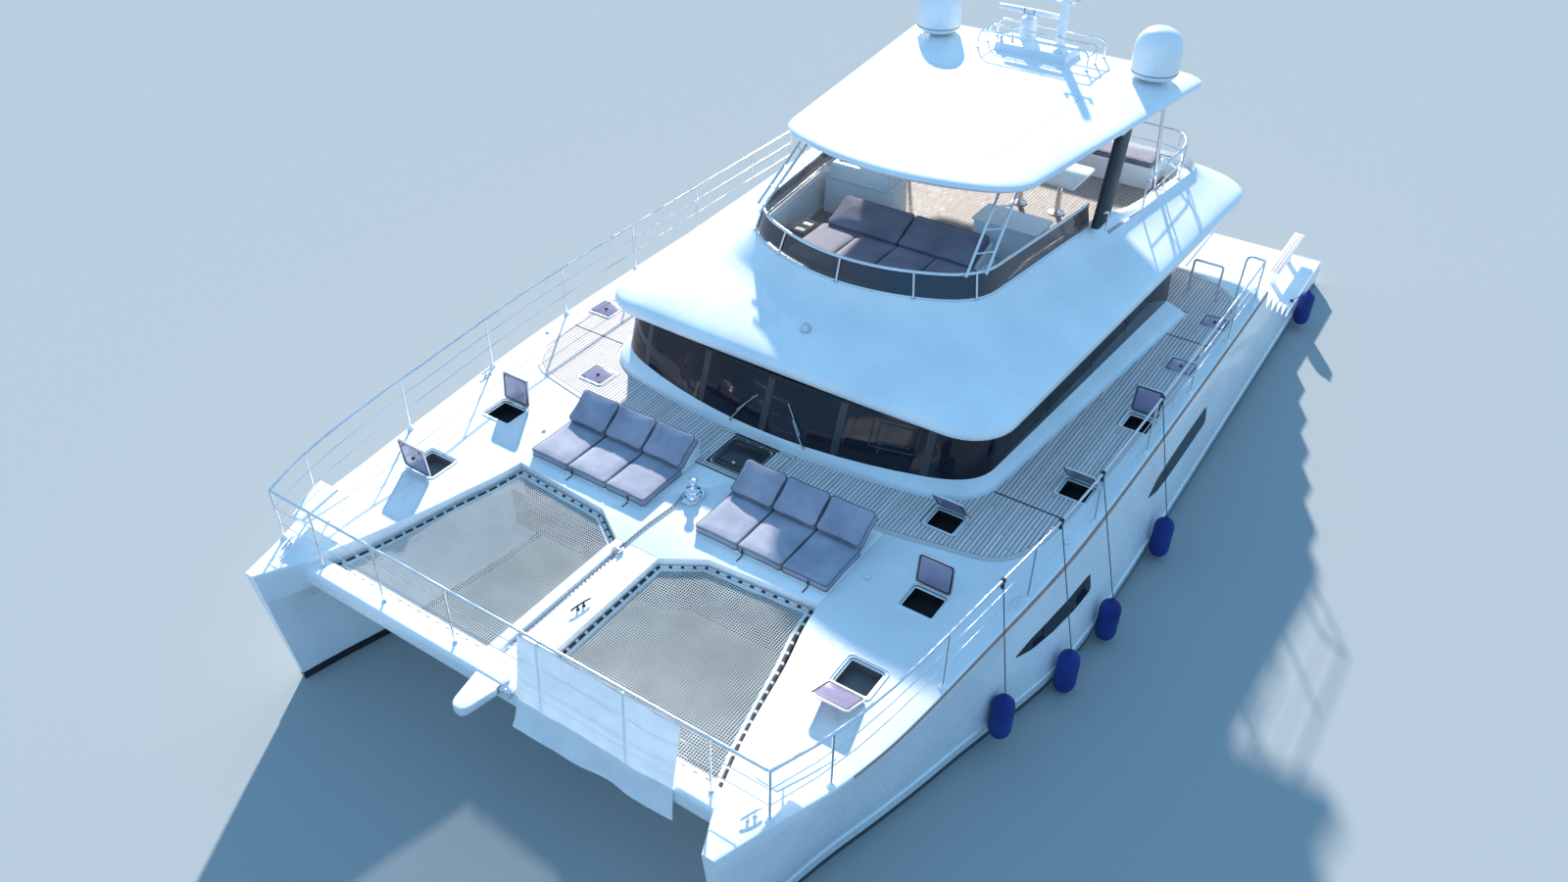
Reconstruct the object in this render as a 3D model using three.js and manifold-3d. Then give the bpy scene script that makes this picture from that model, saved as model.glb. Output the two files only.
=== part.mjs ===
// Power catamaran afloat: two hulls, side decks, bridge deck, deckhouse, flybridge and hardtop.
// Millimetres. Bow at -Y, port at +X, +Z up. The origin is on the waterline, amidships, on the centreline.
import * as THREE from "three";
import { mergeVertices } from "three/addons/utils/BufferGeometryUtils.js";
import Module from "manifold-3d";

const wasm = await Module();
wasm.setup();

// Driving dimensions
const GAP = 0.3; // between pieces that rest on each other
const STERN_Y = 9500;
const DECK_Z = 1900;
const FLANGE_Z = 1550; // hull and deck mouldings meet here, under the rub rail
const SOLE_Z = 850; // saloon and cockpit sole
const WET_DECK_Z = 650; // underside of the bridge deck
const FOREDECK_Y = -5950;
const COCKPIT_AFT_Y = 6900;
const BULKHEAD_Y = 3300;
const ROOF_Z = 2830; // underside of the flybridge moulding
const FLY_SOLE_Z = 2980;
const COAMING_Z = 3600; // top of the flybridge coaming
const FLY_RAIL_Z = 3960;
const HARDTOP_Z = 4850; // underside of the hardtop
const HARDTOP_TOP_Z = 5060;
const SHAFT_Z = -680;
const PROP_Y = 8200;
const RUDDER_Y = 8900;
const RAIL_Z = 2740; // top rail over the side decks
const HULL_X = 3870; // centre of a hull amidships and aft
const TUNNEL_X = 2745; // inner wall of a hull
const SIDE_DECK_X = 2460; // inner edge of a side deck amidships
const SIDES = [
  { side: "port", s: 1 },
  { side: "starboard", s: -1 },
];

// Solids
function solidOf(geometry) {
  const bare = geometry.clone();
  for (const name of Object.keys(bare.attributes)) if (name !== "position") bare.deleteAttribute(name);
  const merged = mergeVertices(bare, 1e-3);
  const mesh = new wasm.Mesh({
    numProp: 3,
    vertProperties: new Float32Array(merged.attributes.position.array),
    triVerts: new Uint32Array(merged.index.array),
  });
  return new wasm.Manifold(mesh);
}

function geometryOf(solid) {
  const mesh = solid.getMesh();
  const geometry = new THREE.BufferGeometry();
  geometry.setAttribute("position", new THREE.BufferAttribute(new Float32Array(mesh.vertProperties), 3));
  geometry.setIndex(new THREE.BufferAttribute(new Uint32Array(mesh.triVerts), 1));
  const faceted = geometry.toNonIndexed();
  faceted.computeVertexNormals();
  return faceted;
}

const joined = (...solids) => solids.reduce((a, b) => a.add(b));
const cut = (solid, ...tools) => tools.reduce((a, b) => a.subtract(b), solid);
const moved = (solid, x, y, z) => solid.translate([x, y, z]);
const mirrored = (solid, s) => (s > 0 ? solid : solid.mirror([1, 0, 0]));

function block(x0, x1, y0, y1, z0, z1) {
  const box = new THREE.BoxGeometry(x1 - x0, y1 - y0, z1 - z0);
  return moved(solidOf(box), (x0 + x1) / 2, (y0 + y1) / 2, (z0 + z1) / 2);
}

// A body whose sections are rings of 3-D points, all with the same number of points.
function loft(rings) {
  const n = rings[0].length;
  const points = rings.flat().flat();
  const faces = [];
  for (let r = 0; r < rings.length - 1; r++) {
    for (let i = 0; i < n; i++) {
      const [a, b] = [r * n + i, r * n + ((i + 1) % n)];
      faces.push(a, b, b + n, a, b + n, a + n);
    }
  }
  const flat = rings.map((ring) => flattened(ring));
  for (const [a, b, c] of THREE.ShapeUtils.triangulateShape(flat[0], [])) faces.push(a, c, b);
  const last = (rings.length - 1) * n;
  for (const [a, b, c] of THREE.ShapeUtils.triangulateShape(flat.at(-1), [])) {
    faces.push(last + a, last + b, last + c);
  }
  const geometry = new THREE.BufferGeometry();
  geometry.setAttribute("position", new THREE.Float32BufferAttribute(points, 3));
  geometry.setIndex(faces);
  const solid = solidOf(geometry);
  return solid.volume() < 0 ? solidOf(turned(geometry)) : solid;
}

// A ring seen along the axis that it faces most.
function flattened(ring) {
  const normal = new THREE.Vector3();
  ring.forEach((p, i) => {
    normal.add(new THREE.Vector3(...p).cross(new THREE.Vector3(...ring[(i + 1) % ring.length])));
  });
  const facing = normal.toArray().map(Math.abs);
  const [u, v] = [0, 1, 2].filter((k) => k !== facing.indexOf(Math.max(...facing)));
  const points = ring.map((p) => new THREE.Vector2(p[u], p[v]));
  return THREE.ShapeUtils.isClockWise(points) ? points.map((p) => new THREE.Vector2(-p.x, p.y)) : points;
}

function turned(geometry) {
  const index = [...geometry.index.array];
  for (let i = 0; i < index.length; i += 3) [index[i + 1], index[i + 2]] = [index[i + 2], index[i + 1]];
  return geometry.clone().setIndex(index);
}

const level = (outline, z) => outline.map(([x, y]) => [x, y, z]);
const prism = (outline, z0, z1) => loft([level(outline, z0), level(outline, z1)]);
const plate = (outlineXZ, y0, y1) => loft([y0, y1].map((y) => outlineXZ.map(([x, z]) => [x, y, z])));
const fin = (outlineYZ, x0, x1) => loft([x0, x1].map((x) => outlineYZ.map(([y, z]) => [x, y, z])));

// A curve through given points, sampled at those points.
class Route extends THREE.Curve {
  constructor(points) {
    super();
    this.points = points.map((p) => new THREE.Vector3(...p));
  }
  getPoint(t, target = new THREE.Vector3()) {
    const place = Math.min(Math.max(t, 0), 1) * (this.points.length - 1);
    const i = Math.min(Math.floor(place), this.points.length - 2);
    return target.lerpVectors(this.points[i], this.points[i + 1], place - i);
  }
  getUtoTmapping(u) {
    return u;
  }
}

function circle(radius, sides) {
  const points = [];
  for (let i = 0; i < sides; i++) {
    const angle = (i * 2 * Math.PI) / sides;
    points.push(new THREE.Vector2(radius * Math.cos(angle), radius * Math.sin(angle)));
  }
  return new THREE.Shape(points);
}

function tube(points, radius, sides = 6) {
  const extrudePath = new Route(points);
  return solidOf(new THREE.ExtrudeGeometry(circle(radius, sides), { extrudePath, steps: points.length - 1 }));
}

// A round bar between two points.
function bar(a, b, radius, sides = 6) {
  return tube([a, b], radius, sides);
}

// A turned body on a vertical axis from [radius, height] pairs.
function turnedBody(profile, sides) {
  return solidOf(new THREE.LatheGeometry(profile.map(([r, z]) => new THREE.Vector2(r, z)), sides)).rotate([90, 0, 0]);
}

// Plan outline of a house: bulged front edge, round front corners, flared sides and round aft corners.
function houseOutline({ front, bulge, half, radius, aftHalf, aft, aftRadius }) {
  const right = [];
  const straight = half - radius;
  for (const t of [0, 0.5, 1]) right.push([t * straight, front + bulge * t * t]);
  for (const a of [-60, -30, 0]) {
    const angle = (a * Math.PI) / 180;
    right.push([straight + radius * Math.cos(angle), front + bulge + radius * (1 + Math.sin(angle))]);
  }
  for (const a of [0, 45, 90]) {
    const angle = (a * Math.PI) / 180;
    right.push([aftHalf - aftRadius * (1 - Math.cos(angle)), aft - aftRadius * (1 - Math.sin(angle))]);
  }
  const left = right.slice(1).reverse();
  return [...right, ...left.map(([x, y]) => [-x, y])];
}

function grown(size, by) {
  const { front, half, aftHalf, radius } = size;
  return { ...size, front: front - by, half: half + by, aftHalf: aftHalf + by, radius: radius + by };
}

// The same house carried on aft to another end, its sides in the same planes
function extended(size, aft) {
  const { front, bulge, radius, half, aftHalf } = size;
  const corner = front + bulge + radius;
  return { ...size, aft, aftHalf: half + ((aftHalf - half) * (aft - corner)) / (size.aft - corner) };
}

const houseLoft = (sections) => loft(sections.map(({ z, ...size }) => level(houseOutline(size), z)));

// The boat and its pieces
const boat = new THREE.Group();
boat.name = "power_catamaran";

const FINISH = {
  gelcoat: { color: 0xf4f6f7, roughness: 0.25, metalness: 0 },
  steel: { color: 0xc9ced2, roughness: 0.2, metalness: 1 },
  black: { color: 0x14161c, roughness: 0.35, metalness: 0 },
  glass: { color: 0x1b2030, roughness: 0.05, metalness: 0 },
  tinted: { color: 0x2c3a4a, roughness: 0.05, metalness: 0 },
  acrylic: { color: 0x8f89a6, roughness: 0.15, metalness: 0 },
  teak: { color: 0x8d8577, roughness: 0.8, metalness: 0 },
  net: { color: 0xc9d2da, roughness: 0.9, metalness: 0 },
  canvas: { color: 0x4d5666, roughness: 0.9, metalness: 0 },
  cloth: { color: 0xf6f6f4, roughness: 0.9, metalness: 0 },
  fender: { color: 0x1b4fc0, roughness: 0.6, metalness: 0 },
  bronze: { color: 0xa9854a, roughness: 0.35, metalness: 1 },
  grey: { color: 0x6b7178, roughness: 0.6, metalness: 0 },
};

function piece(name, solid, finish) {
  const mesh = new THREE.Mesh(geometryOf(solid), new THREE.MeshStandardMaterial(FINISH[finish]));
  mesh.name = name;
  boat.add(mesh);
  return mesh;
}

// Hull sections of the port hull, from the bow aft
const STEM_RAKE = 0.115; // the stem leans forward this much for each unit of height
const HULL_SECTIONS = [
  // y, deck outer x, knuckle x, waterline x, deck inner x, inner wall x, depth, deck z, rake
  [-9580, 3560, 3490, 3480, 3400, 3410, 280, 2040, 1],
  [-9000, 3750, 3600, 3560, 3150, 3300, 480, 2005, 0.8],
  [-8000, 4100, 3800, 3760, 2860, 3080, 560, 1960, 0.4],
  [-7000, 4280, 4080, 4040, 2660, 2950, 585, DECK_Z, 0.2],
  [-6000, 4400, 4330, 4290, 2460, 2830, 600, DECK_Z, 0],
  [-2900, 4685, 4970, 4940, 2460, TUNNEL_X, 620, DECK_Z, 0],
  [0, 4750, 5000, 4980, 2460, TUNNEL_X, 620, DECK_Z, 0],
  [5000, 4800, 5000, 4980, 2460, TUNNEL_X, 520, DECK_Z, 0],
  [STERN_Y, 4750, 5000, 4980, 2460, TUNNEL_X, 340, DECK_Z, 0],
];
const KNUCKLE_Z = 330;
const WALL_TOP_Z = 1300;

function hullRing([y, deckOut, knuckle, water, deckIn, wall, depth, deckZ, rake]) {
  const keel = (water + wall) / 2;
  const half = (water - wall) / 2;
  const ring = [
    [keel, -depth],
    [keel + 0.62 * half, -0.82 * depth],
    [water, 0],
    [knuckle, KNUCKLE_Z],
    [deckOut, deckZ],
    [deckIn, deckZ],
    [deckIn, FLANGE_Z],
    [wall, WALL_TOP_Z],
    [wall, 0],
    [keel - 0.62 * half, -0.82 * depth],
  ];
  return ring.map(([x, z]) => [x, y + rake * STEM_RAKE * (deckZ - z), z]);
}

// A value of the hull table at any y, by the name of its column.
const COLUMN = { deckOut: 1, knuckle: 2, water: 3, deckIn: 4, wall: 5, deckZ: 7 };
function hullAt(column, y) {
  const k = COLUMN[column];
  const i = Math.max(1, HULL_SECTIONS.findIndex((row) => row[0] >= y));
  const [a, b] = [HULL_SECTIONS[i - 1], HULL_SECTIONS[i]];
  return THREE.MathUtils.mapLinear(y, a[0], b[0], a[k], b[k]);
}

// Hatches of the port side deck: centre, size, hinged edge and how far the lids stand open
const LID_THICKNESS = 18;
const LID_LIP = 30; // a lid rests on the deck by this much all round
const WELL_DEPTH = 340;
const HATCHES = [
  { n: 1, x: 3450, y: -6670, w: 520, l: 500, hinge: "forward", port: 155, starboard: 95, most: 160 },
  { n: 2, x: 3480, y: -5190, w: 520, l: 480, hinge: "aft", port: 95, starboard: 95, most: 110 },
  { n: 3, x: 3000, y: -3690, w: 480, l: 460, hinge: "aft", port: 55, starboard: 0, most: 110 },
  { n: 4, x: 4180, y: -2110, w: 480, l: 460, hinge: "aft", port: 50, starboard: 0, most: 110 },
  { n: 5, x: 4330, y: -120, w: 460, l: 460, hinge: "aft", port: 97, starboard: 0, most: 110 },
  { n: 6, x: 4350, y: 1700, w: 460, l: 460, hinge: "aft", port: 0, starboard: 0, most: 110 },
  { n: 7, x: 4370, y: 3330, w: 460, l: 460, hinge: "aft", port: 0, starboard: 0, most: 110 },
];
const CENTRE_HATCH = { x: 0, y: -4110, w: 640, l: 640, hinge: "aft", most: 110 };

const well = ({ x, y, w, l }, z0 = DECK_Z - WELL_DEPTH) =>
  block(x - w / 2 + LID_LIP, x + w / 2 - LID_LIP, y - l / 2 + LID_LIP, y + l / 2 - LID_LIP, z0, DECK_Z + 300);

// The lid's hinge line is the top of its hinged edge. Two barrels on the deck and two on the lid turn on it.
const BARREL = { radius: 9, from: 110, length: 30, notch: 13 };
const HINGE_Z = DECK_Z + GAP + LID_THICKNESS;
const hingeY = ({ y, l, hinge }) => (hinge === "forward" ? y - l / 2 : y + l / 2);

const onBothSides = (solid) => [solid, solid.mirror([1, 0, 0])];
const barrels = (radius, from, to) => onBothSides(bar([from, 0, 0], [to, 0, 0], radius));

function deckBarrels(hatch) {
  const { radius, from, length } = BARREL;
  const foot = block(from, from + length, -radius * 0.8, radius * 0.8, -LID_THICKNESS - GAP - 5, 0);
  const parts = [...barrels(radius, from, from + length), ...onBothSides(foot)];
  return parts.map((part) => moved(part, hatch.x, hingeY(hatch), HINGE_Z));
}

function lid(name, hatch, s, open) {
  const { w, l, hinge } = hatch;
  const dir = hinge === "forward" ? 1 : -1;
  const { radius, from, length, notch } = BARREL;
  const flat = block(-w / 2, w / 2, dir > 0 ? 0 : -l, dir > 0 ? l : 0, -LID_THICKNESS, 0);
  const gap = block(from - 3, from + length + GAP, -notch, notch, -LID_THICKNESS - 1, 1);
  const notched = cut(flat, ...onBothSides(gap));
  const mesh = piece(name, joined(notched, ...barrels(radius, from + length + GAP, from + 2 * length)), "acrylic");
  mesh.position.set(s * hatch.x, hingeY(hatch), HINGE_Z);
  mesh.rotation.x = (dir * open * Math.PI) / 180;
}

// Hull underwater gear
const PROP_RADIUS = 280;
const BRACKET = { y0: 7860, y1: 8040 };
const SHAFT_RADIUS = 35;
const SHAFT_CLEARANCE = 5;
const KEEL_SOLE_Z = -1050;
const KEEL = [[-1500, -560], [6100, -470], [6100, -700], [5900, KEEL_SOLE_Z], [300, KEEL_SOLE_Z], [-900, -850]];
const STERN_STEPS = [
  // y where the step starts, z of its tread
  [5000, FLANGE_Z], [5450, 1290], [5900, 1030], [6350, 770], [6800, 510],
];
const STEP_END_Y = STERN_Y + 100;

function alongY(x, z, y0, y1, radius, sides) {
  return bar([x, y0, z], [x, y1, z], radius, sides);
}

function hullBody() {
  let body = loft(HULL_SECTIONS.map(hullRing));
  for (const [y, z] of STERN_STEPS) body = cut(body, block(2000, 5200, y, STEP_END_Y, z, 2400));
  return body;
}

function hull(body) {
  const lower = cut(body, block(2000, 5200, -10000, 10000, FLANGE_Z - GAP, 2400));
  const keel = fin(KEEL, HULL_X - 80, HULL_X + 80);
  const boss = alongY(HULL_X, SHAFT_Z, BRACKET.y0, BRACKET.y1, 75, 12);
  const strut = block(HULL_X - 18, HULL_X + 18, BRACKET.y0 + 20, BRACKET.y1 - 20, SHAFT_Z + 30, -300);
  const rudderBoss = bar([HULL_X, RUDDER_Y, -200], [HULL_X, RUDDER_Y, RUDDER_SEAT_Z], 80, 12);
  const shaftHole = alongY(HULL_X, SHAFT_Z, 5500, 8200, SHAFT_RADIUS + SHAFT_CLEARANCE, 12);
  const stockHole = bar([HULL_X, RUDDER_Y, -500], [HULL_X, RUDDER_Y, 150], 45, 12);
  const engineWell = block(HULL_X - 520, HULL_X + 680, 2300, 4100, -100, FLANGE_Z + 10);
  return cut(joined(lower, keel, boss, strut, rudderBoss), shaftHole, stockHole, engineWell);
}

function deck(body) {
  const upper = cut(body, block(2000, 5200, -10000, 10000, -2000, FLANGE_Z));
  const open = cut(upper, ...HATCHES.map((hatch) => well(hatch, FLANGE_Z - 10)));
  return joined(open, ...HATCHES.flatMap(deckBarrels));
}

function propeller() {
  const hub = alongY(HULL_X, SHAFT_Z, BRACKET.y1 + GAP, PROP_Y + 110, 60, 12);
  const shaft = alongY(HULL_X, SHAFT_Z, 5510, PROP_Y, SHAFT_RADIUS, 12);
  const blade = block(-70, 70, -14, 14, 40, PROP_RADIUS).rotate([0, 0, 38]);
  const blades = [0, 90, 180, 270].map((angle) => moved(blade.rotate([0, angle, 0]), HULL_X, PROP_Y, SHAFT_Z));
  return joined(hub, shaft, ...blades);
}

const RUDDER_SEAT_Z = -410;
const RUDDER_BLADE = [[-210, -440], [330, -440], [260, -980], [-150, -980]];
function rudder() {
  const blade = fin(RUDDER_BLADE, -26, 26);
  const stock = bar([0, 0, -460], [0, 0, 140], 40, 12);
  const collar = bar([0, 0, -460], [0, 0, RUDDER_SEAT_Z - GAP], 65, 12);
  return moved(joined(blade, stock, collar), HULL_X, RUDDER_Y, 0);
}

function engine() {
  const bed = -100 + GAP;
  return block(HULL_X - 420, HULL_X + 420, 2420, 3960, bed, bed + 950);
}

// Deck rails: stanchions stand on the deck a little inside its edge
const RAIL_INSET = 70;
const RAIL_Y = [-8880, -8150, -6280, -4430, -2600, -750, 1100, 2900, 4300];
const sheerZ = (y) => hullAt("deckZ", y);
const railPoint = (y, z) => [hullAt("deckOut", y) - RAIL_INSET, y, z];
const railHeight = (y) => RAIL_Z + (sheerZ(y) - DECK_Z) * 0.3;
const WIRE_Z = [2250, 2500];
const PULPIT_SEAT = { x: [3480, 3900], y: [-8700, -8060] };

function rail(body) {
  const top = tube(RAIL_Y.map((y) => railPoint(y, railHeight(y))), 19, 8);
  const wires = WIRE_Z.map((z) => tube(RAIL_Y.map((y) => railPoint(y, z)), 8, 5));
  const posts = RAIL_Y.map((y) => bar(railPoint(y, sheerZ(y) - 5), railPoint(y, railHeight(y)), 17));
  const feet = RAIL_Y.map((y) => {
    const [x, , z] = railPoint(y, sheerZ(y) + 5);
    return block(x - 45, x + 45, y - 45, y + 45, z, z + 20);
  });
  const { x: seatX, y: seatY } = PULPIT_SEAT;
  const seat = block(...seatX, ...seatY, WIRE_Z[0] - 6, WIRE_Z[0] + 24);
  const leg = bar([seatX[0] + 60, -8350, sheerZ(-8350) - 5], [seatX[0] + 60, -8350, WIRE_Z[0]], 14);
  return cut(joined(top, ...wires, ...posts, ...feet, seat, leg), moved(body, 0, 0, GAP));
}

for (const { side, s } of SIDES) {
  const body = hullBody();
  piece("hull_" + side, mirrored(hull(body), s), "gelcoat");
  piece("deck_" + side, mirrored(deck(body), s), "gelcoat");
  piece("engine_" + side, mirrored(engine(), s), "grey");
  piece("propeller_" + side, mirrored(propeller(), s), "bronze");
  piece("rudder_" + side, mirrored(rudder(), s), "black");
  piece("rail_" + side, mirrored(rail(body), s), "steel");
  for (const hatch of HATCHES) lid("hatch_" + side + "_" + hatch.n, hatch, s, hatch[side]);
}
lid("hatch_centre", CENTRE_HATCH, 1, 0);

// Bridge deck: foredeck, saloon sole and cockpit between the hulls
const FOREDECK_EDGE = [[-2454, FOREDECK_Y], [-870, -6070], [-330, -6420], [330, -6420], [870, -6070], [2454, FOREDECK_Y]];
const SUNBED_BACK = [[-4880, DECK_Z - 10], [-4880, 1960], [-4500, 2210], [-4440, 2210], [-4440, DECK_Z - 10]];
const WALL_X = 2400; // inside of the saloon and cockpit walls

function bridgeDeck() {
  const box = block(-TUNNEL_X + GAP, TUNNEL_X - GAP, FOREDECK_Y, COCKPIT_AFT_Y, WET_DECK_Z, WALL_TOP_Z - GAP);
  const sideX = SIDE_DECK_X - GAP;
  const outline = [...FOREDECK_EDGE, [sideX, COCKPIT_AFT_Y], [-sideX, COCKPIT_AFT_Y]];
  const nose = prism(outline, WET_DECK_Z + 350, DECK_Z);
  const backs = SIDES.map(({ s }) => mirrored(fin(SUNBED_BACK, 400, 2400), s));
  const recess = block(-WALL_X, WALL_X, -3150, COCKPIT_AFT_Y + 10, SOLE_Z, 2500);
  const sofa = block(-1250, 1250, 6150, COCKPIT_AFT_Y, SOLE_Z - 5, 1280);
  const sofaBack = block(-1250, 1250, 6720, COCKPIT_AFT_Y, SOLE_Z - 5, 1620);
  const gates = block(-2800, 2800, 5920, 6680, SOLE_Z + 180, 2500);
  const body = cut(joined(box, nose, ...backs), recess, gates, well(CENTRE_HATCH));
  const guides = SIDES.map(({ s }) => mirrored(block(1500, 1620, COCKPIT_AFT_Y - 10, COCKPIT_AFT_Y + 90, 660, 1260), s));
  return joined(body, sofa, sofaBack, ...guides, ...deckBarrels(CENTRE_HATCH));
}
piece("bridge_deck", bridgeDeck(), "gelcoat");

// The tender platform hangs on two carriages that slide on the guides
function tenderPlatform() {
  const y = COCKPIT_AFT_Y + 90 + GAP;
  const slab = block(-2700, 2700, y + 60, STERN_Y - 60, 400, 500);
  const carriages = SIDES.map(({ s }) => mirrored(block(1480, 1640, y, y + 70, 405, 1260), s));
  return joined(slab, ...carriages);
}
piece("tender_platform", tenderPlatform(), "gelcoat");

// A piece between the hulls, cut back from both by the gap
function fitted(solid) {
  return cut(solid, ...SIDES.map(({ s }) => moved(mirrored(hullBody(), s), -s * GAP, 0, 0)));
}

// Crossbeam at the bow with the longeron, the bow tongue and the front rail
const BEAM_Y = [-9050, -8750];
const BEAM_TOP_Z = 1900;
const FRONT_RAIL_Y = -8880;
const FRONT_POSTS_X = [-3000, -1900, -700, 700, 1900, 3000];
function crossbeam() {
  const beam = block(-3400, 3400, ...BEAM_Y, BEAM_TOP_Z - 270, BEAM_TOP_Z);
  const longeron = block(-340, 340, BEAM_Y[1] - 10, -6421, BEAM_TOP_Z - 180, BEAM_TOP_Z);
  const channel = block(-270, -60, BEAM_Y[0] + 60, -6300, BEAM_TOP_Z - 110, BEAM_TOP_Z + 10);
  const tongue = block(-210, 210, -9560, BEAM_Y[0] + 10, BEAM_TOP_Z - 130, BEAM_TOP_Z - 20);
  const roller = bar([-190, -9500, BEAM_TOP_Z - 30], [190, -9500, BEAM_TOP_Z - 30], 45, 10);
  const top = railHeight(FRONT_RAIL_Y);
  const posts = FRONT_POSTS_X.map((x) => bar([x, FRONT_RAIL_Y, BEAM_TOP_Z - 20], [x, FRONT_RAIL_Y, top], 17));
  const end = railPoint(FRONT_RAIL_Y, 0)[0] - 20 - GAP;
  const bars = [[top, 19], [WIRE_Z[1], 8], [WIRE_Z[0], 8]].map(([z, r]) =>
    bar([-end, FRONT_RAIL_Y, z], [end, FRONT_RAIL_Y, z], r));
  return joined(fitted(cut(joined(beam, longeron), channel)), tongue, roller, ...posts, ...bars);
}
piece("crossbeam", crossbeam(), "gelcoat");

// Trampolines, laced into the opening between beam, longeron, foredeck and deck edge
function trampoline(s) {
  const outline = [[340 + GAP, BEAM_Y[1] + GAP], [3300, BEAM_Y[1] + GAP], [2700, FOREDECK_Y - 1.3]];
  outline.push([2454, FOREDECK_Y - 1.3], [870, -6071.3], [340 + GAP, -6414]);
  return fitted(mirrored(prism(outline, 1780, 1796), s));
}
for (const { side, s } of SIDES) piece("trampoline_" + side, trampoline(s), "net");

function windlass() {
  const base = block(-150, 150, -5420, -5020, DECK_Z + GAP, DECK_Z + 60);
  const drum = turnedBody([[0, 0], [110, 0], [110, 60], [70, 110], [70, 190], [120, 230], [120, 270], [0, 270]], 16);
  return joined(base, moved(drum, -20, -5200, DECK_Z + 50));
}
piece("windlass", windlass(), "steel");

// Deckhouse: a frame with windows cut, and a band of glass round it
const COAMING_FOOT = { front: -3660, bulge: 240, half: 3270, radius: 800, aftHalf: 3880, aft: BULKHEAD_Y, aftRadius: 10 };
const WINDOW_FOOT = { front: -3620, bulge: 400, half: 3120, radius: 700, aftHalf: 3520, aft: BULKHEAD_Y, aftRadius: 10 };
const WINDOW_HEAD = { front: -3330, bulge: 330, half: 3050, radius: 650, aftHalf: 3480, aft: BULKHEAD_Y, aftRadius: 10 };
const WINDOW_FOOT_Z = 2070;
const GLASS = 14;
const HOUSE_WALL = 70;
const FRONT_WINDOWS = [[-2500, -1560], [-1460, -540], [-440, 440], [540, 1460], [1560, 2500]];
const SIDE_WINDOWS = [[-2250, -1050], [-950, 350], [450, 1500], [1700, 3100]];

function houseWall(inset, aft) {
  const sections = [
    { z: DECK_Z + GAP, ...COAMING_FOOT },
    { z: WINDOW_FOOT_Z, ...WINDOW_FOOT },
    { z: ROOF_Z - GAP, ...WINDOW_HEAD },
  ];
  return houseLoft(sections.map(({ z, ...size }) => ({ z, ...extended(grown(size, -inset), aft) })));
}

function deckhouseFrame() {
  const core = houseWall(HOUSE_WALL, BULKHEAD_Y + 200);
  const shell = cut(houseWall(0, BULKHEAD_Y), core, moved(core, 0, 0, -20), moved(core, 0, 0, 20));
  const [z0, z1] = [WINDOW_FOOT_Z + 60, ROOF_Z - 70];
  const front = FRONT_WINDOWS.map(([x0, x1]) => block(x0, x1, -4200, -2850, z0, z1));
  const sides = SIDE_WINDOWS.map(([y0, y1]) => block(-4200, 4200, y0, y1, z0, z1));
  return cut(shell, ...front, ...sides);
}

function deckhouseGlass() {
  const band = (out, aft) =>
    houseLoft([
      { z: WINDOW_FOOT_Z + 2, ...extended(grown(WINDOW_FOOT, out), aft) },
      { z: ROOF_Z - GAP, ...extended(grown(WINDOW_HEAD, out), aft) },
    ]);
  const core = band(1, BULKHEAD_Y + 200);
  return cut(band(GLASS, BULKHEAD_Y), core, moved(core, 0, 0, -20), moved(core, 0, 0, 20));
}
piece("deckhouse_frame", deckhouseFrame(), "gelcoat");
piece("deckhouse_glass", deckhouseGlass(), "glass");

// Aft bulkhead with its doorway and windows, and the door that slides behind it
const DOORWAY = { x0: -1500, x1: -550, top: 2700 };
function aftBulkhead() {
  const y = BULKHEAD_Y + GAP;
  const side = WALL_X - GAP;
  const [sill, wide, head] = [SOLE_Z + GAP, 3460, ROOF_Z - GAP];
  const outline = [[-side, sill], [side, sill], [side, DECK_Z + GAP], [wide, DECK_Z + GAP]];
  outline.push([wide, head], [-wide, head], [-wide, DECK_Z + GAP], [-side, DECK_Z + GAP]);
  const wall = plate(outline, y, y + 50);
  const windows = [[-3300, -2450], [-450, 950], [1050, 2300], [2450, 3300]];
  const openings = windows.map(([x0, x1]) => block(x0, x1, y - 10, y + 60, 2000, 2700));
  const doorway = block(DOORWAY.x0, DOORWAY.x1, y - 10, y + 60, SOLE_Z + 20, DOORWAY.top);
  return cut(wall, ...openings, doorway);
}
piece("aft_bulkhead", aftBulkhead(), "black");

function saloonDoor() {
  const y = BULKHEAD_Y + 50 + 2 * GAP;
  const [x0, x1] = [DOORWAY.x0 - 40, DOORWAY.x1 + 40];
  const panel = block(x0, x1, y, y + 35, SOLE_Z + 10, DOORWAY.top + 40);
  return cut(panel, block(x0 + 90, x1 - 90, y - 5, y + 12, SOLE_Z + 120, DOORWAY.top - 60));
}
piece("saloon_door", saloonDoor(), "glass");

// Teak laid on the side decks and in front of the deckhouse
const TEAK = { z0: DECK_Z + GAP, z1: DECK_Z + 12 };
const TEAK_EDGE = [
  [0, -4330], [2350, -4400], [3900, -4100], [4200, -3700], [4330, -3000], [4430, -1500], [4520, 500],
  [4600, 3900], [4300, 4500], [3700, 4850], [2600, 4850],
];
function teakDeck() {
  const outer = [...TEAK_EDGE, ...TEAK_EDGE.slice(1).reverse().map(([x, y]) => [-x, y])];
  const slab = prism(outer, TEAK.z0, TEAK.z1);
  const house = prism(houseOutline(extended(grown(COAMING_FOOT, 2), BULKHEAD_Y + 60)), 1800, 2000);
  const cockpit = block(-2600, 2600, -2000, 5000, 1800, 2000);
  const slots = HATCHES.flatMap((h) => SIDES.map(({ s }) => mirrored(lidSlot(h), s)));
  return cut(slab, house, cockpit, ...slots, lidSlot(CENTRE_HATCH));
}
const SLOT = 16; // clearance round a lid
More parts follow.
